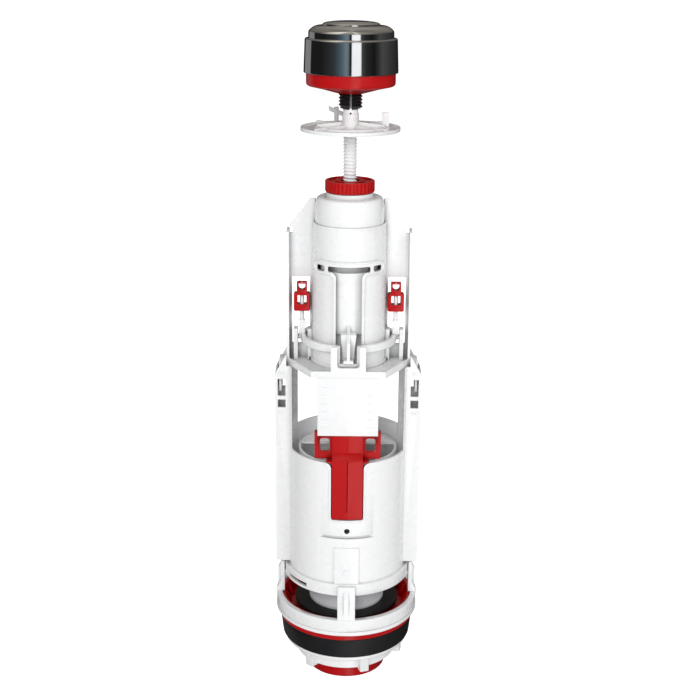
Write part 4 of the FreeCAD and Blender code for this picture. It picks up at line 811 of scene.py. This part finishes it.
@dataclass
class Recipes:
    """The Geometry Nodes trees that the sub-assemblies share."""

    coil: Recipe = field(default_factory=coil_recipe)
    ring: Recipe = field(default_factory=ring_recipe)
    row: Recipe = field(default_factory=row_recipe)
    bead: Recipe = field(default_factory=bead_recipe)

    def thread(
        self, name: str, slot: Slot, radius: float, low: float, high: float, pitch: float,
        ridge: float,
    ) -> bpy.types.Object:
        """Wind a thread's ridge round the valve's axis, with sizes in millimetres.

        Args:
            name: The ridge's name.
            slot: The finish of its faces.
            radius: The core's radius.
            low: The height where it starts.
            high: The height where it ends.
            pitch: The rise of one turn.
            ridge: How far it stands out.

        Returns:
            The ridge.
        """
        return self.coil.make(name, slot, {
            "Turns": (high - low) / pitch, "Radius": radius * MM, "Rise": (high - low) * MM,
            "Wire": ridge * MM, "Base": low * MM, "Sides": 4})


# Sub-assemblies


@dataclass
class Outlet:
    """Seat, gasket, back nut and basket at the foot of the valve."""

    recipes: Recipes
    rib_count: int = 24
    rib_inner: float = 30.5
    rib_outer: float = 34.6
    rib_half: float = 0.45
    floor: float = 34.9
    rib_top: float = 41.6
    nut_turn: float = 19.5
    skirt_inner: float = 37.8
    skirt_outer: float = 39.15
    skirt_low: float = 34.9
    skirt_high: float = 37.2

    def build(self) -> None:
        """Make and dress the outlet's pieces."""
        trace_all("valve_body", (
            ("outlet_seat", "seat_base", Slot.RED, 0.0),
            ("floor_gasket", "base_gasket", Slot.RUBBER, 0.0),
            ("basket_ring", "base_basket", Slot.WHITE, 0.2),
        ))
        nut = traced("back_nut_ring", "base_nut", 0.2)
        nut.data.transform(Matrix.Rotation(math.radians(self.nut_turn), 4, "Z"))
        dress(nut, Slot.WHITE, "back_nut", ["base_nut"])
        skirt = lathe("basket_skirt", [
            (self.skirt_inner, self.skirt_low, 0.3), (self.skirt_outer, self.skirt_low, 0.5),
            (self.skirt_outer, self.skirt_high), (self.skirt_inner, self.skirt_high)])
        dress(skirt, Slot.WHITE, "valve_body")
        self.basin_ribs()

    def basin_ribs(self) -> None:
        """Thin radial ribs inside the red basin wall."""
        rib = plate("basin_rib", Plane.SIDE, [
            (-self.rib_outer, self.floor),
            (-self.rib_outer, self.rib_top),
            (-self.rib_inner - 2.6, self.rib_top - 0.4, 0.5),
            (-self.rib_inner, self.floor),
        ], -self.rib_half, self.rib_half, 0.1)
        ribs = self.recipes.ring.make("basin_ribs", Slot.RED, {"Count": self.rib_count}, rib)
        dress(ribs, Slot.RED, "valve_body")


@dataclass
class Body:
    """White shell with its volume cup and scale plate."""

    recipes: Recipes
    shell_radius: float = 32.2
    channel_half: float = 9.5
    channel_low: float = 98.6
    channel_high: float = 128.2
    channel_corner: float = 2.2
    mouth_corner: float = 2.6
    mouth_out: float = 2.4
    mouth_up: float = 2.2
    rim_bead: float = 0.42
    tick_at: float = 11.6
    tick_half: float = 1.9
    tick_height: float = 0.55
    tick_bottom: float = 150.0
    tick_step: float = 4.4
    tick_count: int = 6
    mark_at: float = 35.4
    upper_marks: float = 172.6
    lower_marks: float = 150.6
    rail_front: float = -9.0
    plate_front: float = -28.2
    plug: float = 1.48
    plug_height: float = 93.4
    vent_low: float = 88.4
    vent_high: float = 91.0
    vent_face: float = 30.8
    vent_back: float = 30.3

    def build(self) -> None:
        """Make and dress the body's pieces."""
        trace_all("valve_body", (
            ("body_shell", "outer_body", Slot.WHITE, 0.22),
            ("volume_cup_shell", "volume_cup", Slot.WHITE, 0.0),
            ("scale_panel", "scale_plate", Slot.WHITE, 0.25),
        ))
        self.channel_rim()
        self.sight_plug()
        self.vent_backing()
        self.scale_ticks()
        self.rail_marks()

    def channel_rim(self) -> None:
        """Raised rim along the slider's channel."""
        half = self.channel_half
        high = self.channel_high
        run = rounded([
            (-half - self.mouth_out, high + self.mouth_up),
            (-half, high, self.mouth_corner),
            (-half, self.channel_low, self.channel_corner),
            (half, self.channel_low, self.channel_corner),
            (half, high, self.mouth_corner),
            (half + self.mouth_out, high + self.mouth_up),
        ])
        line = wrapped_line("channel_rim_line", run, self.shell_radius, False)
        rim = self.recipes.bead.make("channel_rim", Slot.WHITE,
                                     {"Bead": self.rim_bead * MM}, line)
        dress(rim, Slot.WHITE, "valve_body")

    def sight_plug(self) -> None:
        """Dark plug with a slit in the small sight hole."""
        disc = plate("sight_plug", Plane.FRONT, [
            (self.plug * math.cos(angle), self.plug_height + self.plug * math.sin(angle))
            for angle in (math.pi * step / 16 for step in range(32))
        ], -self.shell_radius + 0.1, -self.shell_radius + 0.9, 0.15)
        slit = plate("plug_slit", Plane.FRONT,
                     rectangle(-0.9, 0.9, self.plug_height - 0.2, self.plug_height + 0.2),
                     -self.shell_radius - 1, -self.shell_radius + 0.5)
        dress(cut(disc, [slit]), Slot.BLACK, "valve_body")

    def vent_backing(self) -> None:
        """Shallow wall close behind the vent slot."""
        outline = []
        for radius, way in ((self.vent_face, 1), (self.vent_back, -1)):
            for step in range(-14, 15):
                angle = math.radians(2 * step * way)
                outline.append((radius * math.sin(angle), -radius * math.cos(angle)))
        wall = plate("vent_backing", Plane.LEVEL, outline, self.vent_low, self.vent_high)
        dress(wall, Slot.WHITE, "valve_body")

    def scale_ticks(self) -> None:
        """Plain raised ticks up both edges of the scale plate."""
        low = self.tick_bottom
        for side, name in ((-1, "left"), (1, "right")):
            middle = self.tick_at * side
            tick = plate(
                name + "_tick", Plane.FRONT,
                rectangle(middle - self.tick_half, middle + self.tick_half, low,
                          low + self.tick_height),
                self.plate_front - 0.22, self.plate_front + 0.05, 0.08)
            ticks = self.recipes.row.make(
                name + "_scale_ticks", Slot.WHITE,
                {"Count": self.tick_count, "Step": (0.0, 0.0, self.tick_step * MM)}, tick)
            dress(ticks, Slot.WHITE, "valve_body")

    def rail_marks(self) -> None:
        """Small raised setting marks by the rails' latch windows."""
        for side, name in ((-1, "left"), (1, "right")):
            for level, height in (("upper", self.upper_marks), ("lower", self.lower_marks)):
                start = self.mark_at * side - 1.5
                mark = plate(
                    name + level, Plane.FRONT,
                    rectangle(start, start + 0.5, height, height + 2.2),
                    self.rail_front - 0.2, self.rail_front + 0.05, 0.06)
                marks = self.recipes.row.make(
                    name + "_" + level + "_setting_marks", Slot.WHITE,
                    {"Count": 3, "Step": (1.1 * MM, 0.0, 0.0)}, mark)
                dress(marks, Slot.WHITE, "valve_body")


@dataclass
class VolumeSlider:
    """Red slider that sets the flush volume."""

    web_half: float = 8.1
    flare: float = 3.0
    web_front: float = -31.0
    bar_front: float = -25.0
    bar_bottom: float = 132.1
    ramp_foot: float = 133.4
    ramp_head: float = 135.8
    panel_front: float = -26.4
    panel_top: float = 145.6
    crease: float = 0.35
    crease_low: float = 104.0
    eye_at: float = 12.0
    eye_half: float = 2.45
    eye_lift: float = 4.0
    eye_height: float = 7.4
    eye_frame: float = 0.65

    def build(self) -> None:
        """Make and dress the slider's pieces."""
        bar = traced("slider_bar", "volume_slider", 0.3)
        slope = plate("ramp_cut", Plane.SIDE, [
            (self.web_front - 1, self.ramp_foot - 1.2), (self.web_front - 1, self.ramp_head + 1),
            (self.panel_front - 0.6, self.ramp_head + 1),
            (self.panel_front - 0.6, self.ramp_head - 0.9),
        ], -12, 12)
        groove = self.centre_groove(self.web_front, self.crease_low, self.ramp_head)
        dress(cut(bar, [slope, groove]), Slot.RED, "slider", ["volume_slider"], 14.0)
        self.panel()
        self.flares()
        self.eye_frames()

    def centre_groove(self, front: float, low: float, high: float) -> bpy.types.Object:
        """Cutter for the fine crease up the middle of a face."""
        return plate("centre_groove", Plane.LEVEL, [
            (-self.crease, front - 2), (self.crease, front - 2), (0, front + self.crease),
        ], low, high)

    def panel(self) -> None:
        """Slope from the stem back to the raised middle of the crossbar."""
        middle = plate("slider_middle", Plane.SIDE, [
            (self.bar_front + 0.1, self.bar_bottom + 0.1),
            (self.web_front + 0.05, self.bar_bottom + 0.1),
            (self.web_front + 0.05, self.ramp_foot - 0.2, 0.5),
            (self.panel_front - 0.2, self.ramp_head, 0.4),
            (self.panel_front, self.panel_top, 0.5),
            (self.bar_front + 0.1, self.panel_top),
        ], -self.web_half - 0.04, self.web_half + 0.04, 0.2)
        groove = self.centre_groove(self.panel_front - 0.1, self.ramp_head, self.panel_top - 1)
        dress(cut(middle, [groove]), Slot.RED, "slider")

    def flares(self) -> None:
        """Hollow corners where the stem widens to the crossbar."""
        for side, name in ((-1, "left"), (1, "right")):
            inner = (self.web_half - 0.1) * side
            outer = (self.web_half + self.flare) * side
            top = self.bar_bottom + 0.2
            curve = []
            for step in range(9):
                angle = math.pi / 2 * step / 8
                curve.append((
                    outer - self.flare * math.cos(angle) * side,
                    self.bar_bottom - self.flare + self.flare * math.sin(angle)))
            outline = [(inner, top), (inner, curve[0][1]), *curve, (outer, top)]
            gusset = plate(name + "_slider_flare", Plane.FRONT, outline,
                           self.web_front + 0.6, self.bar_front + 0.1, 0.12)
            dress(gusset, Slot.RED, "slider")

    def eye_frames(self) -> None:
        """Raised frames round the two eyes of the crossbar."""
        low = self.bar_bottom + self.eye_lift
        high = low + self.eye_height
        edge = self.eye_frame
        for side, name in ((-1, "left"), (1, "right")):
            left = self.eye_at * side - self.eye_half
            right = self.eye_at * side + self.eye_half
            outer = plate(name + "_eye_frame", Plane.FRONT,
                          rectangle(left - edge, right + edge, low - edge, high + edge, 1.8),
                          self.bar_front - 0.35, self.bar_front + 0.1, 0.14)
            hole = plate(name + "_eye_hole", Plane.FRONT, rectangle(left, right, low, high, 1.3),
                         self.bar_front - 1, self.bar_front + 1)
            dress(cut(outer, [hole]), Slot.RED, "slider")


@dataclass
class Plunger:
    """Lift tube with the plunger disc, seal, retainer and float."""

    def build(self) -> None:
        """Make and dress the plunger's pieces."""
        trace_all("plunger", (
            ("overflow_tube", "lift_tube", Slot.WHITE, 0.2),
            # Painted shade: the white plunger plate takes the darker grey finish.
            ("plunger_plate", "plunger_disc", Slot.GREY_AND_PAINTED_SHADE, 0.0),
            ("seal_ring", "plunger_seal", Slot.RUBBER, 0.0),
            ("seal_clamp", "seal_retainer", Slot.WHITE, 0.0),
            ("float_bell", "float_ring", Slot.WHITE, 0.0),
        ))


@dataclass
class Head:
    """Shelf, housing with its T window, guide tube and the spring in it."""

    recipes: Recipes
    tee_radius: float = 20.3
    tee_half: float = 17.6
    leg_half: float = 7.6
    tee_low: float = 229.9
    tee_high: float = 235.9
    tee_corner: float = 2.7
    leg_corner: float = 3.2
    leg_low: float = 182.0
    rim_bead: float = 0.5
    slots: tuple[tuple[float, float], ...] = ((-16.3, -12.6), (-10.8, 10.8), (12.6, 16.3))
    slot_low: float = 230.7
    slot_high: float = 233.9
    wing_tip: float = 22.0
    wing_top: float = 265.0
    spring_wire: float = 0.6
    spring_radius: float = 11.4
    spring_turns: float = 7.0

    def build(self) -> None:
        """Make and dress the head's pieces."""
        for name, node, edge in (
            ("shelf_frame", "head_frame", 0.25),
            ("head_shell", "head_housing", 0.2),
            ("spring_guide", "guide_tube", 0.15),
            ("left_wing", "left_hanger", 0.2),
            ("right_wing", "right_hanger", 0.2),
            ("left_inner_pivot_post", "left_inner_post", 0.15),
            ("left_outer_pivot_post", "left_outer_post", 0.15),
            ("right_inner_pivot_post", "right_inner_post", 0.15),
            ("right_outer_pivot_post", "right_outer_post", 0.15),
        ):
            piece = traced(name, node, edge)
            knives = self.knives(node)
            if knives:
                cut(piece, knives)
            dress(piece, Slot.WHITE, "valve_body", [node])
        self.tee_rim()
        self.spring()

    def knives(self, node: str) -> list[bpy.types.Object]:
        """Cutters for a CAD node of the head.

        Args:
            node: The node's name.

        Returns:
            The full T slots for the housing, the sharp tip for a wing, or nothing.
        """
        if node == "head_housing":
            return [
                plate("slot", Plane.FRONT,
                      rectangle(left, right, self.slot_low, self.slot_high, 0.8), -22.5, -5.0)
                for left, right in self.slots
            ]
        if node in ("left_hanger", "right_hanger"):
            tip = rectangle(-self.wing_tip, self.wing_tip, self.wing_top, self.wing_top + 6)
            return [plate("tip", Plane.FRONT, tip, -9, 9)]
        return []

    def tee_rim(self) -> None:
        """Raised bead round the T-shaped window."""
        run = rounded([
            (-self.leg_half, self.leg_low),
            (-self.leg_half, self.tee_low, self.leg_corner),
            (-self.tee_half, self.tee_low, self.tee_corner),
            (-self.tee_half, self.tee_high, self.tee_corner),
            (self.tee_half, self.tee_high, self.tee_corner),
            (self.tee_half, self.tee_low, self.tee_corner),
            (self.leg_half, self.tee_low, self.leg_corner),
            (self.leg_half, self.leg_low),
        ])
        line = wrapped_line("tee_rim_line", run, self.tee_radius, False)
        rim = self.recipes.bead.make("tee_window_rim", Slot.WHITE,
                                     {"Bead": self.rim_bead * MM}, line)
        dress(rim, Slot.WHITE, "valve_body")

    def spring(self) -> None:
        """Return spring under the press cap."""
        low, high = (corner.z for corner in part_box("return_spring"))
        wire = self.spring_wire * MM
        coil = self.recipes.coil.make("return_coil", Slot.STEEL, {
            "Turns": self.spring_turns, "Radius": self.spring_radius * MM,
            "Rise": high - low - 2 * wire, "Wire": wire, "Base": low + wire, "Sides": 12})
        dress(coil, Slot.STEEL, "valve_body", ["return_spring"])
        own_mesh(coil)


@dataclass
class Yoke:
    """Rocking lift yoke and the red clips on its rods."""

    clip_at: float = 24.7
    clip_half: float = 4.25
    clip_low: float = 206.05
    clip_high: float = 215.7
    clip_depth: float = 2.5
    window_half: float = 2.45
    window_low: float = 209.6
    window_high: float = 214.6
    neck_half: float = 2.65
    neck_high: float = 221.35
    throat_half: float = 1.8
    throat_low: float = 217.2
    throat_high: float = 220.8
    bore: float = 1.3

    def build(self) -> None:
        """Make and dress the yoke and its clips."""
        trace_all("yoke", [("rocker_yoke", "lift_yoke", Slot.WHITE, 0.0)])
        for side, name, body in ((-1, "left", "clip_left"), (1, "right", "clip_right")):
            self.clip(self.clip_at * side, name, body)

    def clip(self, middle: float, name: str, body: str) -> None:
        """Clip with a window onto its rod and a thin spring neck.

        Args:
            middle: Where the rod stands, in millimetres from the valve's axis.
            name: Which side it is on.
            body: The CAD body that carries it.
        """
        block = plate(
            name + "_clip_block", Plane.FRONT,
            rectangle(middle - self.clip_half, middle + self.clip_half,
                      self.clip_low, self.clip_high, 0.9),
            -self.clip_depth, self.clip_depth, 0.3)
        window = plate(
            "window", Plane.FRONT,
            rectangle(middle - self.window_half, middle + self.window_half,
                      self.window_low, self.window_high, 0.5),
            -9, 9)
        tunnels = []
        for low, high in ((self.clip_low - 1, self.clip_high + 4),
                          (self.clip_high - 2, self.neck_high + 1)):
            tunnel = lathe("tunnel", [(0, low), (self.bore, low), (self.bore, high), (0, high)], 32)
            tunnel.data.transform(Matrix.Translation((middle * MM, 0, 0)))
            tunnels.append(tunnel)
        neck = plate(
            name + "_clip_neck", Plane.FRONT,
            rectangle(middle - self.neck_half, middle + self.neck_half,
                      self.clip_high - 0.4, self.neck_high, 0.5),
            -self.clip_depth + 0.2, self.clip_depth - 0.2, 0.12)
        curve = [(middle - self.throat_half * math.cos(angle),
                  self.throat_low + self.throat_half - self.throat_half * math.sin(angle))
                 for angle in (math.pi * step / 12 for step in range(13))]
        throat = plate("throat", Plane.FRONT, curve + [
            (middle + self.throat_half, self.throat_high),
            (middle - self.throat_half, self.throat_high)], -9, 9)
        clip = merge(name + "_rod_clip", [
            cut(block, [window, tunnels[0]]), cut(neck, [throat, tunnels[1]])])
        dress(clip, Slot.RED, body, [name + "_adjuster_clip"])


@dataclass
class PressTrain:
    """Press disc, threaded rod, cap, sleeve and lock nut."""

    recipes: Recipes
    rod_core: float = 2.85
    rod_ridge: float = 0.84
    rod_pitch: float = 1.75
    rod_lead: float = 1.2
    rod_low: float = 245.5
    rod_high: float = 300.5
    tip_radius: float = 2.5
    tip_high: float = 306.0
    cap_section: tuple[tuple[float, ...], ...] = (
        (4.0, 264.6), (16.45, 264.6), (16.45, 244.05), (17.95, 244.05, 0.2), (17.95, 262.0, 3.0),
        (16.9, 266.95, 1.9), (12.2, 266.95), (12.2, 269.2, 0.25), (9.6, 269.2), (9.6, 271.5, 0.25),
        (4.0, 271.5),
    )

    def build(self) -> None:
        """Make and dress the press train's pieces."""
        trace_all("press_train", (
            ("keel_sleeve", "press_sleeve", Slot.WHITE, 0.15),
            ("press_plate", "press_disc", Slot.WHITE, 0.12),
            # The plate clip takes the grey finish that also paints shade on the plunger plate.
            ("plate_clip", "disc_clip", Slot.GREY_AND_PAINTED_SHADE, 0.15),
        ))
        dress(lathe("cap_shell", self.cap_section), Slot.WHITE, "press_train", ["press_cap"])
        trace_all("lock_ring", [("fluted_nut", "lock_nut", Slot.RED, 0.0)])
        self.rod()

    def rod(self) -> None:
        """Rod with its rolled thread."""
        core = lathe("rod_core", [
            (0, self.rod_low), (self.rod_core, self.rod_low, 0.5),
            (self.rod_core, self.rod_high - 0.4), (3.7, self.rod_high),
            (self.tip_radius, self.rod_high), (self.tip_radius, self.tip_high, 0.3),
            (0, self.tip_high),
        ], 64)
        ridge = self.recipes.thread(
            "rod_ridge", Slot.WHITE, self.rod_core - 0.02, self.rod_low + self.rod_lead,
            self.rod_high - self.rod_lead, self.rod_pitch, self.rod_ridge)
        rod = merge("threaded_rod", [core, ridge])
        dress(rod, Slot.WHITE, "press_train", ["push_rod"], 24.0)


@dataclass
class PushButton:
    """Chrome dual button in its ring, red cup and threaded shank."""

    recipes: Recipes
    shank_core: float = 5.28
    shank_ridge: float = 0.82
    shank_pitch: float = 1.7
    shank_lead: float = 0.95
    shank_outer: float = 6.13
    shank_low: float = 311.6
    shank_high: float = 319.6
    bore: float = 3.82
    floor: float = 323.4
    flange: float = 9.8
    flange_high: float = 325.4
    ring_section: tuple[tuple[float, ...], ...] = (
        (19.6, 329.2), (23.77, 329.2, 0.5), (23.15, 346.1, 0.9), (21.75, 346.1, 0.3),
        (21.75, 331.0), (19.6, 331.0),
    )
    button_section: tuple[tuple[float, ...], ...] = (
        (2.6, 344.8), (14.6, 344.8), (14.6, 352.4, 0.5), (18.6, 351.9, 6.0), (21.38, 349.5, 2.0),
        (21.38, 340.3), (19.9, 340.3), (19.9, 347.2), (16.1, 349.6), (16.1, 346.2), (5.7, 346.2),
        (5.7, 334.3), (3.9, 334.3), (3.9, 346.0), (2.6, 346.0),
    )
    inner_section: tuple[tuple[float, float], ...] = (
        (0, 340.3), (2.4, 340.3), (2.4, 351.7), (13.1, 351.7), (13.1, 349.3), (14.3, 349.3),
    )
    crown_radius: float = 14.3
    crown_edge: float = 352.6
    crown_rise: float = 1.85
    crown_line: float = 10.6
    line_depth: float = 0.28
    line_width: float = 0.45

    def build(self) -> None:
        """Make and dress the button's pieces."""
        trace_all("valve_body", [("cup_shell", "button_cup", Slot.RED, 0.0)])
        trace_all("full_button", [("pusher_rod", "button_pusher", Slot.WHITE, 0.0)])
        self.chrome()
        self.shank()
        self.springs()

    def chrome(self) -> None:
        """Ring with rolled edges, and buttons with soft polished shoulders."""
        ring = lathe("bezel_shell", self.ring_section, 256)
        outer = lathe("outer_button", self.button_section, 256)
        crown = []
        for step in range(49):
            angle = math.pi / 2 * step / 48
            reach = self.crown_radius * math.cos(angle)
            offset = (reach - self.crown_line) / self.line_width
            line = self.line_depth * math.exp(-(offset ** 2))
            height = self.crown_edge + self.crown_rise * math.sin(angle) ** 0.8
            crown.append((reach, height - line))
        top = (0.0, self.crown_edge + self.crown_rise)
        inner = lathe("inner_button", [*self.inner_section, *crown[:-1], top], 256)
        dress(ring, Slot.CHROME, "valve_body", ["bezel_ring"], 40.0)
        dress(outer, Slot.CHROME, "full_button", ["full_flush_button"], 40.0)
        dress(inner, Slot.CHROME, "half_button", ["half_flush_button"], 40.0)

    def shank(self) -> None:
        """Black shank with a coarse thread and a slot down its front."""
        core = lathe("shank_core", [
            (self.bore, self.shank_low), (self.shank_core, self.shank_low, 0.4),
            (self.shank_core, self.shank_high - 0.5), (self.shank_outer, self.shank_high),
            (self.shank_outer, self.floor), (self.flange, self.floor),
            (self.flange, self.flange_high, 0.3), (self.bore, self.flange_high),
        ], 96)
        ridge = self.recipes.thread(
            "shank_ridge", Slot.BLACK, self.shank_core, self.shank_low + self.shank_lead,
            self.shank_high - self.shank_lead, self.shank_pitch, self.shank_ridge)
        slit = rectangle(-0.5, 0.5, self.shank_low - 1, self.shank_high - 0.6)
        shank = merge("slotted_shank", [
            cut(part, [plate("shank_slot", Plane.FRONT, slit, -8, -2)]) for part in (core, ridge)])
        dress(shank, Slot.BLACK, "valve_body", ["threaded_shank"], 24.0)

    def springs(self) -> None:
        """Springs that lift the two buttons again."""
        for name, node, body, joint, radius, wire, turns, keep in (
            ("outer_coil", "full_button_spring", "valve_body", "full_button_press",
             8.4, 0.45, 6.0, 0.58),
            ("inner_coil", "half_button_spring", "full_button", "half_button_press",
             8.0, 0.35, 3.0, 0.42),
        ):
            low, high = (corner.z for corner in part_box(node))
            coil = self.recipes.coil.make(name, Slot.STEEL, {
                "Turns": turns, "Radius": radius * MM, "Rise": high - low - 2 * wire * MM,
                "Wire": wire * MM, "Base": low + wire * MM, "Sides": 10})
            dress(coil, Slot.STEEL, body, [node])
            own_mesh(coil)


# Studio

# Azimuth from the camera's side in degrees, level, and share of blue
CARDS = (
    (-180, 0.02, 0.0), (-150, 0.02, 0.0), (-148, 0.28, 0.0), (-116, 0.28, 0.0),
    (-114, 0.015, 0.0), (-76, 0.015, 0.0), (-63, 0.026, 0.0), (-52, 0.035, 0.0),
    (-41, 0.06, 0.3), (-31, 0.12, 0.45), (-21, 0.20, 0.42), (-12, 0.32, 0.35),
    (-6, 0.25, 0.3), (-3, 0.02, 0.0), (1, 0.02, 0.0), (2.5, 1.35, 0.0), (23.5, 1.35, 0.0),
    (25.5, 0.08, 0.0), (37, 0.03, 0.0), (58, 0.012, 0.0), (69, 0.037, 0.0), (81, 0.085, 0.0),
    (95, 0.07, 0.0), (110, 0.05, 0.0), (129, 0.037, 0.0), (150, 0.02, 0.0), (180, 0.02, 0.0),
)

# The same for the part above the cards
CEILING = (
    (-180, 1.0, 0.0), (-140, 0.6, 0.0), (-95, 0.5, 0.0), (-60, 2.6, 0.0), (-40, 3.0, 0.0),
    (-20, 1.2, 0.0), (8, 1.2, 0.0), (14, 2.6, 0.0), (30, 1.0, 0.0), (80, 0.6, 0.0),
    (120, 0.5, 0.0), (160, 0.9, 0.0), (180, 1.0, 0.0),
)


@dataclass
class Studio:
    """Pale floor, soft light, a reflection dome for the metal and the camera."""

    camera_at: tuple[float, float, float] = (-0.25, -655.7, 386.8)
    pitch: float = 17.09
    roll: float = 0.512
    lens: float = 66.65
    white: float = 1.0
    sky: float = 0.36
    floor_reach: float = 30.0
    floor_level: float = -0.0004
    floor_glow: float = 0.76
    aim: tuple[float, float, float] = (0.0, 0.0, 0.18)
    dome_radius: float = 2.6
    ceiling: tuple[float, float, float] = (0.22, 0.205, 0.175)

    def build(self) -> None:
        """Set up the floor, world, lamps, dome and camera."""
        self.floor()
        self.world()
        self.lamps()
        self.dome()
        self.camera()
        bpy.context.scene.view_settings.view_transform = "Standard"

    def floor(self) -> None:
        """Plain pale floor that shows white to the camera and keeps a faint shadow."""
        mesh = bpy.data.meshes.new("floor")
        reach = self.floor_reach
        corners = rectangle(-reach, reach, -reach, reach)
        mesh.from_pydata([(x, y, self.floor_level) for x, y in corners], [], [(0, 1, 2, 3)])
        floor = object_from("floor", mesh)
        material = bpy.data.materials.new("pale_floor")
        graph = cleared(material)
        path = graph.add("ShaderNodeLightPath")
        paint = graph.add("ShaderNodeBsdfDiffuse")
        paint.inputs["Color"].default_value = (0.86, 0.86, 0.86, 1)
        glow = graph.add("ShaderNodeEmission", Strength=self.floor_glow)
        both = graph.add("ShaderNodeAddShader")
        pick = graph.add("ShaderNodeMixShader")
        leave = graph.add("ShaderNodeOutputMaterial")
        graph.join(paint, "BSDF", both, 0)
        graph.join(glow, "Emission", both, 1)
        graph.join(path, "Is Camera Ray", pick, "Fac")
        graph.join(paint, "BSDF", pick, 1)
        graph.join(both, "Shader", pick, 2)
        graph.join(pick, "Shader", leave, "Surface")
        mesh.materials.append(material)
        floor.visible_glossy = False

    def world(self) -> None:
        """White surroundings for the camera and for metal, softer light for the rest."""
        world = bpy.data.worlds.new("studio")
        bpy.context.scene.world = world
        graph = cleared(world)
        path = graph.add("ShaderNodeLightPath")
        seen = graph.operate("ShaderNodeMath", "MAXIMUM")
        seen_any = graph.operate("ShaderNodeMath", "MAXIMUM")
        level = graph.add("ShaderNodeMapRange", To_Min=self.sky, To_Max=self.white)
        light = graph.add("ShaderNodeBackground")
        light.inputs["Color"].default_value = (1, 1, 1, 1)
        leave = graph.add("ShaderNodeOutputWorld")
        graph.join(path, "Is Camera Ray", seen, 0)
        graph.join(path, "Is Glossy Ray", seen, 1)
        graph.join(seen, "Value", seen_any, 0)
        graph.join(path, "Is Transmission Ray", seen_any, 1)
        graph.join(seen_any, "Value", level, "Value")
        graph.join(level, "Result", light, "Strength")
        graph.join(light, "Background", leave, "Surface")

    def lamps(self) -> None:
        """Large soft lamps, the brighter one from the front left."""
        for name, at, size, power in (
            ("key", (-0.4, -1.8, 0.9), 0.9, 21.0),
            ("fill", (1.1, -1.3, 0.6), 0.9, 8.0),
            ("top", (0.1, 0.3, 1.9), 0.9, 2.4),
            ("back", (0.4, 1.7, 0.8), 0.9, 6.0),
        ):
            lamp = bpy.data.lights.new(name, "AREA")
            lamp.shape = "SQUARE"
            lamp.size = size
            lamp.energy = power
            made = bpy.data.objects.new(name, lamp)
            bpy.context.scene.collection.objects.link(made)
            made.location = at
            made.visible_glossy = False
            way = Vector(self.aim) - Vector(at)
            made.rotation_euler = way.to_track_quat("-Z", "Y").to_euler()

    def dome(self) -> None:
        """Surroundings seen only in reflections: a light strip among dark and blue-grey cards."""
        mesh = bpy.data.meshes.new("reflection_dome")
        shape = bmesh.new()
        bmesh.ops.create_uvsphere(shape, u_segments=96, v_segments=48, radius=self.dome_radius)
        shape.to_mesh(mesh)
        shape.free()
        material = bpy.data.materials.new("reflection_cards")
        graph = cleared(material)
        place = graph.add("ShaderNodeTexCoord")
        split = graph.add("ShaderNodeSeparateXYZ")
        ahead = graph.operate("ShaderNodeMath", "MULTIPLY")
        ahead.inputs[1].default_value = -1.0
        azimuth = graph.operate("ShaderNodeMath", "ARCTAN2")
        share = graph.add("ShaderNodeMapRange", From_Min=-math.pi, From_Max=math.pi)
        cards = graph.add("ShaderNodeValToRGB")
        upper = graph.add("ShaderNodeValToRGB")
        graph.join(place, "Object", split, "Vector")
        graph.join(split, "Y", ahead, 0)
        graph.join(split, "X", azimuth, 0)
        graph.join(ahead, "Value", azimuth, 1)
        graph.join(azimuth, "Value", share, "Value")
        for ramp, stops in ((cards, CARDS), (upper, CEILING)):
            graph.join(share, "Result", ramp, "Fac")
            points = ramp.color_ramp.elements
            for index, (angle, level, blue) in enumerate(stops):
                spot = (angle + 180) / 360
                point = points[index] if index < 2 else points.new(spot)
                point.position = spot
                point.color = (level * (1 - blue), level * (1 - 0.4 * blue), level, 1)
        rise = graph.add("ShaderNodeMapRange", From_Min=0.62, From_Max=1.0)
        lift = graph.add("ShaderNodeMapRange", From_Min=0.9, From_Max=2.2, To_Min=0.8, To_Max=1.9)
        warm = graph.operate("ShaderNodeVectorMath", "SCALE")
        varied = graph.operate("ShaderNodeVectorMath", "MULTIPLY")
        warm.inputs[0].default_value = self.ceiling
        blend = graph.add("ShaderNodeMix")
        blend.data_type = "RGBA"
        glow = graph.add("ShaderNodeEmission")
        leave = graph.add("ShaderNodeOutputMaterial")
        graph.join(split, "Z", rise, "Value")
        graph.join(split, "Z", lift, "Value")
        graph.join(lift, "Result", warm, "Scale")
        graph.join(rise, "Result", blend, "Factor")
        graph.join(cards, "Color", blend, "A")
        graph.join(warm, "Vector", varied, 0)
        graph.join(upper, "Color", varied, 1)
        graph.join(varied, "Vector", blend, "B")
        graph.join(blend, "Result", glow, "Color")
        graph.join(glow, "Emission", leave, "Surface")
        mesh.materials.append(material)
        dome = object_from("reflection_dome", mesh)
        dome.visible_camera = False
        dome.visible_diffuse = False
        dome.visible_shadow = False
        dome.visible_transmission = False

    def camera(self) -> None:
        """Camera at the photograph's place and angle."""
        lens = bpy.data.cameras.new("camera")
        lens.lens = self.lens
        lens.sensor_width = 36.0
        lens.clip_start = 0.01
        lens.clip_end = 100.0
        made = bpy.data.objects.new("camera", lens)
        bpy.context.scene.collection.objects.link(made)
        tilt = Matrix.Rotation(math.radians(90 - self.pitch), 4, "X")
        lean = Matrix.Rotation(math.radians(self.roll), 4, "Z")
        made.matrix_world = (
            Matrix.Translation(Vector(self.camera_at) * MM) @ tilt @ lean)
        bpy.context.scene.camera = made


def main() -> None:
    """Build and dress the whole valve, then set up the studio."""
    logging.basicConfig(level=logging.INFO, format="%(message)s")
    recipes = Recipes()
    for assembly in (
        Outlet(recipes),
        Body(recipes),
        VolumeSlider(),
        Plunger(),
        Head(recipes),
        Yoke(),
        PressTrain(recipes),
        PushButton(recipes),
        Studio(),
    ):
        log.info("building %s", type(assembly).__name__)
        assembly.build()


if __name__ == "__main__":
    main()
